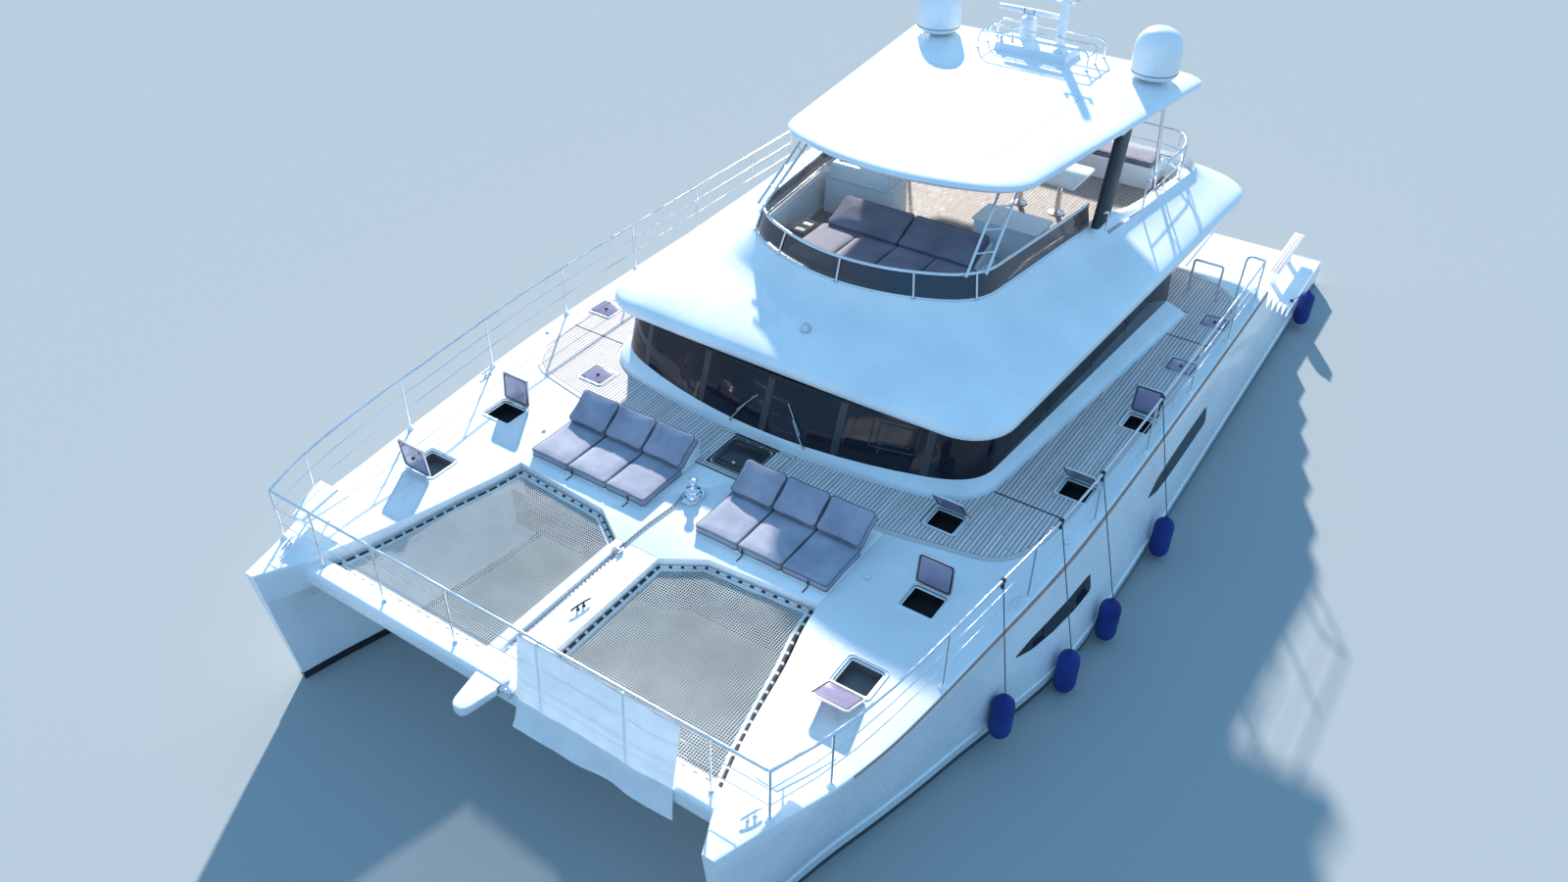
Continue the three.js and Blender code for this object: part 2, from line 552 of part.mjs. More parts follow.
const lidSlot = ({ x, y, w, l }) =>
  block(x - w / 2 - SLOT, x + w / 2 + SLOT, y - l / 2 - SLOT, y + l / 2 + SLOT, 1800, 2000);
piece("teak_deck", teakDeck(), "teak");

// Flybridge moulding: roof plate, crowned shoulder and hollow coaming with its furniture
const ROOF = { bulge: 40, radius: 700, aftRadius: 800 };
const ROOF_SECTIONS = [
  { z: ROOF_Z, front: -3240, half: 3330, aftHalf: 3760, aft: 6700, ...ROOF },
  { z: 2950, front: -3260, half: 3350, aftHalf: 3780, aft: 6750, ...ROOF },
  { z: 3060, front: -3080, half: 3200, aftHalf: 3680, aft: 6680, ...ROOF },
  { z: 3300, front: -1950, bulge: 300, half: 2300, radius: 900, aftHalf: 2950, aft: 6300, aftRadius: 600 },
];
const COAMING = { bulge: 220, radius: 900, aftRadius: 500 };
const COAMING_SECTIONS = [
  { z: 3200, front: -1900, half: 2250, aftHalf: 2850, aft: 6250, ...COAMING },
  { z: COAMING_Z, front: -1720, half: 2080, aftHalf: 2800, aft: 6200, ...COAMING },
];
const COAMING_WALL = 130;
const FLY_WELL = { z: FLY_SOLE_Z, front: -1560, half: 1930, aftHalf: 2650, aft: 6050, ...COAMING };
const FLY_AFT_COAMING_Z = 3250; // the coaming is low aft of the pillars

function flybridge() {
  const roof = houseLoft(ROOF_SECTIONS);
  const coaming = houseLoft(COAMING_SECTIONS);
  const wellSections = [FLY_WELL, { ...FLY_WELL, z: COAMING_Z + 100 }];
  const body = cut(joined(roof, coaming), houseLoft(wellSections));
  const aftCut = block(-3000, 3000, 3600, 6400, FLY_AFT_COAMING_Z, 3900);
  const sole = FLY_SOLE_Z - 10;
  const furniture = [
    block(-1400, 1400, -1100, 800, sole, 3300), // sunbed plinth
    block(-2050, -700, 1250, 1750, sole, 3650), // helm console foot
    block(-1950, -800, 1250, 1700, 3600, 3900), // helm console pod
    block(900, 1950, 900, 1500, sole, 3800), // bar
    block(-2300, 2300, 5300, 5900, sole, 3380), // aft seat
  ];
  return joined(cut(body, aftCut), ...furniture);
}
piece("flybridge", flybridge(), "gelcoat");

// Tinted screen on the coaming and the stainless rail on top of it
const SCREEN = { front: -1700, half: 2060, aftHalf: 2780, aft: 6200, ...COAMING };
const SCREEN_TOP = { ...SCREEN, front: -1620, half: 1990, aftHalf: 2720 };
const SCREEN_AFT_Y = 2100;

function flyScreen() {
  const band = (out) => houseLoft([{ z: COAMING_Z + GAP, ...grown(SCREEN, out) }, { z: FLY_RAIL_Z - 23, ...grown(SCREEN_TOP, out) }]);
  return cut(band(-10), band(-22), block(-3000, 3000, SCREEN_AFT_Y, 7000, 3000, 4500));
}
piece("fly_screen", flyScreen(), "tinted");

// Half of a house outline from the centreline aft, up to a given y
function sideRoute(size, z, toY) {
  const points = houseOutline(size).filter(([x, y]) => x >= 0 && y < toY);
  const [x0, y0] = points.at(-1);
  const x = x0 + ((size.aftHalf - size.half) * (toY - y0)) / (size.aft - size.aftRadius - y0);
  return [...points, [x, toY]].map(([px, py]) => [px, py, z]);
}

const underHardtop = (solid) => cut(solid, block(-3000, 3000, -1000, 7000, HARDTOP_Z - GAP, HARDTOP_Z + 500));

const STRUTS = [
  // foot x, foot y, head x, head y
  [1760, -1120, 1600, 180],
  [1960, -880, 1800, 380],
];
function flyRail() {
  const half = sideRoute(grown(SCREEN_TOP, -16), FLY_RAIL_Z, SCREEN_AFT_Y);
  const whole = [...half.slice(1).reverse().map(([x, y, z]) => [-x, y, z]), ...half];
  const struts = STRUTS.flatMap(([x0, y0, x1, y1]) =>
    SIDES.map(({ s }) => bar([s * x0, y0, FLY_RAIL_Z], [s * x1, y1, HARDTOP_Z + 40], 22, 8)));
  const rungs = [0.25, 0.5, 0.75].flatMap((t) => {
    const at = ([x0, y0, x1, y1]) => [x0 + t * (x1 - x0), y0 + t * (y1 - y0), FLY_RAIL_Z + t * (HARDTOP_Z - FLY_RAIL_Z)];
    return SIDES.map(({ s }) => bar(...STRUTS.map((row) => at(row)).map(([x, y, z]) => [s * x, y, z]), 14));
  });
  return underHardtop(joined(tube(whole, 22, 8), ...struts, ...rungs));
}
piece("fly_rail", flyRail(), "steel");

// Hardtop with its raked pillars
const HARDTOP = { bulge: 250, radius: 700, aftRadius: 350 };
const HARDTOP_SECTIONS = [
  { z: HARDTOP_Z, front: -560, half: 2020, aftHalf: 2640, aft: 5800, ...HARDTOP },
  { z: 4930, front: -650, half: 2100, aftHalf: 2740, aft: 5880, ...HARDTOP },
  { z: 5010, front: -560, half: 2020, aftHalf: 2660, aft: 5820, ...HARDTOP },
  { z: HARDTOP_TOP_Z, front: 300, half: 1350, radius: 400, bulge: 150, aftHalf: 1900, aft: 5500, aftRadius: 300 },
];
const PILLAR = { footY: [1900, 2400], headY: [2950, 3400], x: [2440, 2560], headX: [2240, 2360] };

function hardtop() {
  const { footY, headY, x, headX } = PILLAR;
  const ring = ([x0, x1], [y0, y1], z) => [[x0, y0, z], [x1, y0, z], [x1, y1, z], [x0, y1, z]];
  const pillar = loft([ring(x, footY, COAMING_Z + GAP), ring(headX, headY, HARDTOP_Z + 20)]);
  return joined(houseLoft(HARDTOP_SECTIONS), ...SIDES.map(({ s }) => mirrored(pillar, s)));
}
piece("hardtop", hardtop(), "gelcoat");

// Aft rail of the flybridge, with the two poles that carry the hardtop
const HARDTOP_POLE = [[2480, 4980], [2430, 4640]]; // foot and head of the port pole, x and y
const FLY_AFT_RAIL = { z: 3880, route: [[2700, 3650], [2740, 5500], [2500, 6050], [0, 6080]] };
function flyAftRail() {
  const { z, route } = FLY_AFT_RAIL;
  const at = (height) => {
    const right = route.map(([x, y]) => [x, y, height]);
    return [...right.slice(0, -1).map(([x, y, h]) => [-x, y, h]), ...right.reverse()];
  };
  const foot = FLY_AFT_COAMING_Z + GAP + 4;
  const postPlaces = [[2700, 3650], [2720, 4600], [2740, 5500], [2500, 6050], [1250, 6065]];
  const posts = postPlaces.flatMap(([x, y]) => SIDES.map(({ s }) => bar([s * x, y, foot], [s * x, y, z], 17, 8)));
  const pole = ([x0, y0], [x1, y1]) => bar([x0, y0, FLY_SOLE_Z - 20], [x1, y1, HARDTOP_Z + 40], 30, 8);
  const underSole = block(-3000, 3000, 4000, 6000, FLY_SOLE_Z - 100, FLY_SOLE_Z + GAP);
  const tie = bar([2460, 4855, z - 5], [2726, 4855, z - 5], 14);
  const braces = SIDES.flatMap(({ s }) => [pole(...HARDTOP_POLE), tie].map((solid) => mirrored(solid, s)));
  return cut(underHardtop(joined(tube(at(z), 22, 8), tube(at(3570), 12, 6), ...posts, ...braces)), underSole);
}
piece("fly_aft_rail", flyAftRail(), "steel");

// Domes, mast frame and radar on the hardtop
const DOME = [[0, -50], [150, -50], [150, 50], [330, 60], [390, 110], [400, 260], [400, 480], [370, 640], [280, 780], [150, 850], [0, 870]];
const DOME_AT = [2040, 5040, 5045];
const HARDTOP_BODY = houseLoft(HARDTOP_SECTIONS);
const onHardtop = (solid) => cut(solid, moved(HARDTOP_BODY, 0, 0, GAP));
const MAST = { x: [-1050, 1000], y: [4680, 5480], z: 5400 };
const RADAR_AT = [-420, 5350];
const RADAR_Z = 5560;
const PEDESTAL = [[0, -100], [120, -100], [150, 0], [150, 220], [110, 270], [0, 270]];

for (const { side, s } of SIDES) {
  const [x, y, z] = DOME_AT;
  piece("dome_" + side, onHardtop(moved(turnedBody(DOME, 20), s * x, y, z)), "gelcoat");
}

function mast() {
  const { x, y, z } = MAST;
  const foot = HARDTOP_TOP_Z - 80;
  const frame = [y[0], y[1]].flatMap((py) => [
    bar([x[0], py, foot], [x[0], py, z], 16, 8),
    bar([x[1], py, foot], [x[1], py, z], 16, 8),
    bar([x[0] - 16, py, z - 16], [x[1] + 16, py, z - 16], 16, 8),
  ]);
  const rails = x.map((px) => bar([px, y[0] - 16, z - 16], [px, y[1] + 16, z - 16], 16, 8));
  const box = block(-800, 600, 4740, 5440, foot, 5200);
  const ties = x.map((px) => bar([px, 5080, foot], [px, 5080, z], 14));
  const crossTie = bar([x[0], 5080, 5180], [x[1], 5080, 5180], 14);
  const pedestal = moved(turnedBody(PEDESTAL, 16), ...RADAR_AT, RADAR_Z - 280);
  const post = block(210, 330, 5100, 5300, 5190, 6350);
  return onHardtop(joined(box, pedestal, post, crossTie, ...ties, ...frame, ...rails));
}
piece("mast_frame", mast(), "gelcoat");

function scanner() {
  const arm = block(-590, 590, -55, 55, 40, 140);
  const hub = turnedBody([[0, 0], [60, 0], [60, 60], [0, 60]], 16);
  return moved(joined(arm, hub), ...RADAR_AT, RADAR_Z - 10 + GAP);
}
piece("radar_scanner", scanner(), "gelcoat");

// Helm wheel on the aft face of the console
const HELM_AT = [-1350, 1750 + GAP, 3560];
function helmWheel() {
  const rim = [];
  for (const a of [0, 60, 120, 180, 240, 300, 360]) {
    const angle = (a * Math.PI) / 180;
    rim.push([225 + 17 * Math.cos(angle), 17 * Math.sin(angle)]);
  }
  const ring = turnedBody(rim, 20).rotate([90, 0, 0]);
  const spokes = [90, 210, 330].map((a) => {
    const angle = (a * Math.PI) / 180;
    return bar([0, 0, 0], [225 * Math.cos(angle), 0, 225 * Math.sin(angle)], 12);
  });
  const hub = bar([0, -130, 0], [0, 20, 0], 40, 12);
  return moved(joined(ring, hub, ...spokes), HELM_AT[0], HELM_AT[1] + 130, HELM_AT[2]);
}
piece("helm_wheel", helmWheel(), "black");

// Soft furnishings
function sunbed(s) {
  const seat = block(420, 2440, -5760, -4900, DECK_Z + GAP, DECK_Z + 130);
  const slope = [[-4900, 1963], [-4500, 2226], [-4560, 2350], [-4960, 2080], [-4960, 1963]];
  return mirrored(joined(seat, fin(slope, 440, 2420)), s);
}
for (const { side, s } of SIDES) piece("sunbed_" + side, sunbed(s), "canvas");

function flySunpad() {
  const seat = block(-1380, 1380, -1080, 180, 3300 + GAP, 3400);
  const back = fin([[100, 3301], [780, 3301], [780, 3640], [690, 3680], [100, 3430]], -1300, 1300);
  return joined(seat, back);
}
piece("fly_sunpad", flySunpad(), "canvas");
piece("fly_seat_pad", block(-2250, 2250, 5320, 5880, 3380 + GAP, 3480), "canvas");

function flyTable() {
  const top = block(200, 1700, 3000, 4000, 3680, 3720);
  const legs = [600, 1300].map((x) => bar([x, 3500, FLY_SOLE_Z + GAP], [x, 3500, 3700], 50, 10));
  return joined(top, ...legs);
}
piece("fly_table", flyTable(), "cloth");

const PORT_HULL = hullBody();
const PORT_RAIL = rail(PORT_HULL);

// Fenders hang outside the port hull on taut lanyards from the rail
const FENDER = { radius: 150, length: 700, cord: 7 };
const FENDER_PLACES = [
  // y, height of the fender's top
  [-5170, 930], [-3820, 730], [-2650, 760], [-560, 760], [7500, 800],
];

function fender(y, top) {
  const { radius, length } = FENDER;
  const profile = [[0, 0], [60, 10], [130, 60], [radius, 140], [radius, length - 140], [130, length - 60], [50, length - 10], [30, length + 40], [0, length + 40]];
  const low = top - length;
  const side = Math.max(hullSide(y, low + 100), hullSide(y, top - 100), hullSide(y, KNUCKLE_Z));
  const x = side + radius + GAP;
  const body = moved(turnedBody(profile, 12), x, y, low);
  const tie = y > 5000 ? [4900, y, STERN_STEPS.at(-1)[1] - 5] : railPoint(y, RAIL_Z);
  const cord = bar([x, y, top + 30], tie, FENDER.cord);
  const neighbours = [moved(PORT_RAIL, GAP, 0, 0), moved(PORT_RAIL, 0, 0, -GAP), moved(PORT_HULL, 0, 0, GAP)];
  return cut(joined(body, cord), ...neighbours);
}

// Outer side of the hull at a height, between knuckle and deck edge
function hullSide(y, z) {
  if (z <= KNUCKLE_Z) return hullAt("knuckle", y);
  return THREE.MathUtils.mapLinear(z, KNUCKLE_Z, DECK_Z, hullAt("knuckle", y), hullAt("deckOut", y));
}
FENDER_PLACES.forEach(([y, top], i) => piece("fender_" + (i + 1), fender(y, top), "fender"));

// The banner hangs from the front rail and lies against the crossbeam's forward face
const BANNER = [[-8901, 2770], [-9050.4, 1905], [-9050.4, 1420], [-9056, 1420], [-9056, 1905], [-8907, 2770]];
piece("banner", fin(BANNER, 450, 2650), "cloth");

function passerelle() {
  const beam = block(4290, 4500, 7700, 9700, 840, 900);
  const legs = [8000, 9100].map((y) => block(4340, 4450, y - 40, y + 40, 510 + GAP, 850));
  return joined(beam, ...legs);
}
piece("passerelle", passerelle(), "gelcoat");

export default boat;
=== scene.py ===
# %% [markdown]
# # A motor catamaran, dressed over its solids
#
# The solids of this boat already have their true sizes: two hulls, a bridge deck, a deckhouse, a flybridge
# and a hardtop. This lesson gives them the surfaces that the real boat shows: fair gelcoat curves, teak,
# steel rails, nets, cushions and dark glass. Everything is in metres, with the bow at -Y, port at +X and
# the waterline at z = 0.
#
# The first cell loads the solids.

# %% Load the solids
import math
import time

import bpy
import numpy as np
from mathutils import Matrix, Vector


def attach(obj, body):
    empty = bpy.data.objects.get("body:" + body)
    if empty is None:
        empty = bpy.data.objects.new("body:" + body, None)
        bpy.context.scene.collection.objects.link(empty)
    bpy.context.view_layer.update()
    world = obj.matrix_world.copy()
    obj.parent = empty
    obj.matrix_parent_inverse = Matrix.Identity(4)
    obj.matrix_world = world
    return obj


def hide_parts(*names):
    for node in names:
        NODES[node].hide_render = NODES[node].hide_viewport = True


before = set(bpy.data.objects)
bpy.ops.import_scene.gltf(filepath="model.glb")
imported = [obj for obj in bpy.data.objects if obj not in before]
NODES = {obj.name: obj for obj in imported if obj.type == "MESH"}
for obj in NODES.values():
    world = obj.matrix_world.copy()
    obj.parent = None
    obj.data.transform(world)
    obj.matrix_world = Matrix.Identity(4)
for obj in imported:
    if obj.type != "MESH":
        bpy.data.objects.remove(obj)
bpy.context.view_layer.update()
SIDES = (("port", 1), ("starboard", -1))

# %% [markdown]
# ## Camera
#
# The picture was taken from ahead and above, about twelve metres above the waterline off the port bow. A
# camera is an object whose local axes are right, up and backwards, so its place and three angles give the
# whole matrix. A lens is set by its focal length: 1212 pixels on a picture 1600 pixels wide is 27.3 mm on a
# 36 mm sensor.

# %% Camera
CAMERA_AT = Vector((7.703, -14.844, 12.144))
YAW, PITCH, ROLL = -0.57748, 0.64575, 0.01718
FOCAL_PIXELS, PICTURE_PIXELS, SENSOR = 1212.46, 1600, 36.0

forward = Vector((math.sin(YAW) * math.cos(PITCH), math.cos(YAW) * math.cos(PITCH), -math.sin(PITCH)))
level = Vector((math.cos(YAW), -math.sin(YAW), 0))
above = level.cross(forward)
right = math.cos(ROLL) * level + math.sin(ROLL) * above
upward = -math.sin(ROLL) * level + math.cos(ROLL) * above
bpy.ops.object.camera_add(location=CAMERA_AT)
camera = bpy.context.object
camera.matrix_world = Matrix.Translation(CAMERA_AT) @ Matrix((right, upward, -forward)).transposed().to_4x4()
camera.data.sensor_fit = "HORIZONTAL"
camera.data.sensor_width = SENSOR
camera.data.lens = FOCAL_PIXELS * SENSOR / PICTURE_PIXELS
camera.data.clip_end = 300
bpy.context.scene.camera = camera
print("lens:", round(camera.data.lens, 2), "mm")

# %% [markdown]
# ## Light and floor
#
# White gelcoat shows form only through the change of light over it. One sun stands low over the starboard
# quarter, so that the flybridge throws the deckhouse front and half of the foredeck into cool shade. Its
# direction follows from the shadows that the open hatch lids throw on the deck. A pale blue sky fills the
# shade. The floor is plain and lies at the waterline.

# %% Light and floor
SUN_TURN, SUN_HEIGHT = math.radians(122), math.radians(24)
bpy.ops.object.light_add(type="SUN", location=(0, 0, 30))
sun = bpy.context.object
sun.data.energy = 8.2
sun.data.angle = math.radians(1.5)
sun.data.color = (1.0, 0.95, 0.88)
toward_sun = Matrix.Rotation(SUN_TURN, 3, "Z") @ Vector((math.cos(SUN_HEIGHT), 0, math.sin(SUN_HEIGHT)))
sun.rotation_euler = toward_sun.to_track_quat("Z", "Y").to_euler()

world = bpy.data.worlds.new("studio_sky")
bpy.context.scene.world = world
world.use_nodes = True
world.node_tree.nodes["Background"].inputs["Color"].default_value = (0.30, 0.62, 1.0, 1)
world.node_tree.nodes["Background"].inputs["Strength"].default_value = 1.0

bpy.ops.mesh.primitive_plane_add(size=400, location=(0, 0, 0))
floor = bpy.context.object
floor.name = "studio_floor"
floor_paint = bpy.data.materials.new("studio_floor_paint")
floor_paint.use_nodes = True
floor_shader = floor_paint.node_tree.nodes["Principled BSDF"]
floor_shader.inputs["Base Color"].default_value = (0.36, 0.38, 0.385, 1)
floor_shader.inputs["Roughness"].default_value = 1.0
floor_shader.inputs["Specular IOR Level"].default_value = 0.0
floor.data.materials.append(floor_paint)
bpy.context.scene.view_settings.view_transform = "Standard"
print("sun at", [round(v, 2) for v in toward_sun])

# %% [markdown]
# ## Shader groups
#
# Several finishes share an effect: weathering that breaks up a flat colour, a fine grip pattern, laid
# boards, a weave. Each is a node group with named inputs and outputs, built once. The helper below adds a
# maths node in one line, which keeps the patterns readable. Every pattern starts from Object coordinates,
# which here are metres.

# %% Helpers for node groups
def new_group(name, inputs, outputs):
    group = bpy.data.node_groups.new(name, "ShaderNodeTree")
    for label, value in inputs:
        socket = group.interface.new_socket(label, in_out="INPUT", socket_type="NodeSocketFloat")
        socket.default_value = value
    for label in outputs:
        group.interface.new_socket(label, in_out="OUTPUT", socket_type="NodeSocketFloat")
    source = group.nodes.new("NodeGroupInput")
    sink = group.nodes.new("NodeGroupOutput")
    coordinates = group.nodes.new("ShaderNodeTexCoord")
    return group, source, sink, coordinates.outputs["Object"]


def wire(tree, value, socket):
    if hasattr(value, "links"):
        tree.links.new(value, socket)
    else:
        socket.default_value = value


def maths(tree, operation, a, b=0.0, c=0.0):
    node = tree.nodes.new("ShaderNodeMath")
    node.operation = operation
    for value, socket in zip((a, b, c), node.inputs):
        wire(tree, value, socket)
    return node.outputs[0]


def noise(tree, vector, scale, detail=3.0):
    node = tree.nodes.new("ShaderNodeTexNoise")
    wire(tree, vector, node.inputs["Vector"])
    wire(tree, scale, node.inputs["Scale"])
    node.inputs["Detail"].default_value = detail
    return node.outputs["Fac"]


def axes_of(tree, vector):
    node = tree.nodes.new("ShaderNodeSeparateXYZ")
    tree.links.new(vector, node.inputs[0])
    return node.outputs


def vector_of(tree, x, y, z):
    node = tree.nodes.new("ShaderNodeCombineXYZ")
    for value, socket in zip((x, y, z), node.inputs):
        wire(tree, value, socket)
    return node.outputs[0]


# %% [markdown]
# **Weathering** is two sizes of noise: broad patches where salt and polish differ, and fine specks. One
# output is a slow mask for colour and the other a fine one for roughness and bump.

# %% Group: weathering
weathering, source, sink, place = new_group("weathering", [("Broad", 0.7), ("Fine", 60.0)],
                                            ["Patches", "Specks"])
broad = noise(weathering, place, source.outputs["Broad"], 4.0)
fine = noise(weathering, place, source.outputs["Fine"], 2.0)
weathering.links.new(broad, sink.inputs["Patches"])
weathering.links.new(fine, sink.inputs["Specks"])
print("group:", weathering.name)

# %% [markdown]
# **Grip** is the moulded non-skid of a deck: small pyramids in a diamond grid, made from two crossed sine
# waves.

# %% Group: grip
grip, source, sink, place = new_group("grip", [("Pitch", 0.006)], ["Height"])
x, y, z = axes_of(grip, place)
turns = maths(grip, "DIVIDE", 2 * math.pi, source.outputs["Pitch"])
wave_a = maths(grip, "SINE", maths(grip, "MULTIPLY", maths(grip, "ADD", x, y), turns))
wave_b = maths(grip, "SINE", maths(grip, "MULTIPLY", maths(grip, "SUBTRACT", x, y), turns))
height = maths(grip, "ABSOLUTE", maths(grip, "MULTIPLY", wave_a, wave_b))
grip.links.new(height, sink.inputs["Height"])
print("group:", grip.name)

# %% [markdown]
# **Boards** are laid fore and aft with black caulking between them. The seam is where the fractional part of
# x / width is near zero. Each board gets its own tone, and each length of board ends in a butt joint.

# %% Group: boards
boards, source, sink, place = new_group(
    "boards", [("Width", 0.056), ("Seam", 0.09), ("Length", 1.9)], ["Seams", "Tone", "Grain"])
x, y, z = axes_of(boards, place)
across = maths(boards, "DIVIDE", x, source.outputs["Width"])
row = maths(boards, "FLOOR", across)
seam = maths(boards, "LESS_THAN", maths(boards, "FRACT", across), source.outputs["Seam"])
shifted = maths(boards, "ADD", maths(boards, "DIVIDE", y, source.outputs["Length"]),
                maths(boards, "MULTIPLY", row, 0.37))
butt = maths(boards, "LESS_THAN", maths(boards, "FRACT", shifted), 0.003)
white = boards.nodes.new("ShaderNodeTexWhiteNoise")
boards.links.new(vector_of(boards, row, maths(boards, "FLOOR", shifted), 0.0), white.inputs["Vector"])
grain = noise(boards, vector_of(boards, maths(boards, "MULTIPLY", x, 90.0),
                                maths(boards, "MULTIPLY", y, 5.0), z), 1.0, 4.0)
boards.links.new(maths(boards, "MAXIMUM", seam, butt), sink.inputs["Seams"])
boards.links.new(white.outputs["Value"], sink.inputs["Tone"])
boards.links.new(grain, sink.inputs["Grain"])
print("group:", boards.name)

# %% [markdown]
# **Weave** crosses two sine waves, over and under, at the pitch of an outdoor cushion cloth or a knitted
# cover. It uses all three axes, so that a side face shows the cloth as well as the top.

# %% Group: weave
weave, source, sink, place = new_group("weave", [("Pitch", 0.004)], ["Height", "Fade"])
x, y, z = axes_of(weave, place)
turns = maths(weave, "DIVIDE", 2 * math.pi, source.outputs["Pitch"])
warp = maths(weave, "SINE", maths(weave, "MULTIPLY", maths(weave, "ADD", x, z), turns))
weft = maths(weave, "SINE", maths(weave, "MULTIPLY", maths(weave, "ADD", y, z), turns))
height = maths(weave, "MULTIPLY_ADD", maths(weave, "MULTIPLY", warp, weft), 0.5, 0.5)
weave.links.new(height, sink.inputs["Height"])
weave.links.new(noise(weave, place, 2.5, 5.0), sink.inputs["Fade"])
print("group:", weave.name)

# %% [markdown]
# ## Finishes
#
# A finish is a Principled shader fed by those groups. The helper makes the material, sets its plain values
# on the shader's own sockets, and gives back what is needed to wire a colour ramp, a roughness range and a
# bump.

# %% Helper for finishes
def finish(name, colour, rough, metallic=0.0, coat=0.0, sheen=0.0):
    material = bpy.data.materials.new(name)
    material.use_nodes = True
    shader = material.node_tree.nodes["Principled BSDF"]
    shader.inputs["Base Color"].default_value = (*colour, 1)
    shader.inputs["Roughness"].default_value = rough
    shader.inputs["Metallic"].default_value = metallic
    shader.inputs["Coat Weight"].default_value = coat
    shader.inputs["Sheen Weight"].default_value = sheen
    return material, material.node_tree, shader


def effect(tree, group, **values):
    node = tree.nodes.new("ShaderNodeGroup")
    node.node_tree = group
    for label, value in values.items():
        wire(tree, value, node.inputs[label])
    return node.outputs


def blend_colours(tree, factor, dark, light):
    node = tree.nodes.new("ShaderNodeMix")
    node.data_type = "RGBA"
    sockets = [node.inputs[label] for label in ("Factor", "A", "B")]
    for value, socket in zip((factor, dark, light), sockets):
        wire(tree, (*value, 1) if isinstance(value, tuple) else value, socket)
    return node.outputs["Result"]


def ranged(tree, value, low, high, start=0.35, stop=0.65):
    node = tree.nodes.new("ShaderNodeMapRange")
    labels = ("Value", "From Min", "From Max", "To Min", "To Max")
    for v, label in zip((value, start, stop, low, high), labels):
        wire(tree, v, node.inputs[label])
    return node.outputs["Result"]


def bump(tree, shader, height, distance, strength=1.0):
    node = tree.nodes.new("ShaderNodeBump")
    node.inputs["Strength"].default_value = strength
    node.inputs["Distance"].default_value = distance
    wire(tree, height, node.inputs["Height"])
    tree.links.new(node.outputs["Normal"], shader.inputs["Normal"])


# %% [markdown]
# **Gelcoat** is white, glossy and a little wavy. Water marks dull it in patches. The topsides use the same
# finish with a black boot-top painted just over the waterline and antifouling below it, chosen by height.

# %% Finish: gelcoat and topsides
WHITE_DULL, WHITE_CLEAN = (0.80, 0.82, 0.84), (0.90, 0.915, 0.925)


def gelcoat_finish(name):
    material, tree, shader = finish(name, WHITE_CLEAN, 0.25, coat=0.35)
    worn = effect(tree, weathering, Broad=0.9, Fine=35.0)
    colour = blend_colours(tree, ranged(tree, worn["Patches"], 0.0, 1.0), WHITE_DULL, WHITE_CLEAN)
    tree.links.new(colour, shader.inputs["Base Color"])
    tree.links.new(ranged(tree, worn["Specks"], 0.2, 0.36), shader.inputs["Roughness"])
    bump(tree, shader, worn["Specks"], 0.0006, 0.3)
    return material, tree, shader, colour


gelcoat = gelcoat_finish("gelcoat_white")[0]
topsides, tree, shader, colour = gelcoat_finish("topsides")
x, y, z = axes_of(tree, tree.nodes.new("ShaderNodeTexCoord").outputs["Object"])
boot = maths(tree, "LESS_THAN", z, 0.13)
under = maths(tree, "LESS_THAN", z, 0.02)
painted = blend_colours(tree, boot, colour, (0.012, 0.014, 0.02))
tree.links.new(blend_colours(tree, under, painted, (0.03, 0.035, 0.05)), shader.inputs["Base Color"])
print("finish:", gelcoat.name, topsides.name)

# %% [markdown]
# **Non-skid** is the same moulding with the grip pattern pressed in, so it is duller and a shade darker.

# %% Finish: non-skid deck
nonskid, tree, shader = finish("nonskid_deck", (0.80, 0.82, 0.84), 0.55)
worn = effect(tree, weathering, Broad=0.6, Fine=25.0)
tree.links.new(blend_colours(tree, ranged(tree, worn["Patches"], 0.0, 1.0), (0.72, 0.74, 0.76),
                             (0.82, 0.84, 0.855)), shader.inputs["Base Color"])
tree.links.new(ranged(tree, worn["Specks"], 0.45, 0.65), shader.inputs["Roughness"])
bump(tree, shader, effect(tree, grip, Pitch=0.012)["Height"], 0.0012, 0.6)
print("finish:", nonskid.name)

# %% [markdown]
# **Teak** that is left bare turns silver grey. The caulking stays black, and sits a little lower than the
# wood.

# %% Finish: weathered teak
def teak_finish(name, dark, light, seam_share=0.19):
    material, tree, shader = finish(name, light, 0.75)
    laid = effect(tree, boards, Width=0.058, Seam=seam_share, Length=2.1)
    mixed = maths(tree, "MULTIPLY_ADD", laid["Tone"], 0.55, maths(tree, "MULTIPLY", laid["Grain"], 0.45))
    wood = blend_colours(tree, mixed, dark, light)
    tree.links.new(blend_colours(tree, laid["Seams"], wood, (0.035, 0.035, 0.04)),
                   shader.inputs["Base Color"])
    tree.links.new(ranged(tree, laid["Grain"], 0.62, 0.85), shader.inputs["Roughness"])
    low_seam = maths(tree, "SUBTRACT", maths(tree, "MULTIPLY", laid["Grain"], 0.25), laid["Seams"])
    bump(tree, shader, low_seam, 0.0015, 0.8)
    return material


teak = teak_finish("teak_grey", (0.58, 0.51, 0.51), (0.80, 0.72, 0.71))
# The flybridge sole takes a darker teak: partly browner wood, partly painted shade.
teak_sole_brown_and_painted_shade = teak_finish("teak_sole_brown_and_painted_shade", (0.30, 0.26, 0.24), (0.44, 0.38, 0.35))
teak_margin = finish("teak_margin", (0.60, 0.54, 0.52), 0.7)[0]
print("finish:", teak.name)

# %% [markdown]
# **Steel** rails are polished, with faint smears. **Aluminium** frames round the hatches are satin.

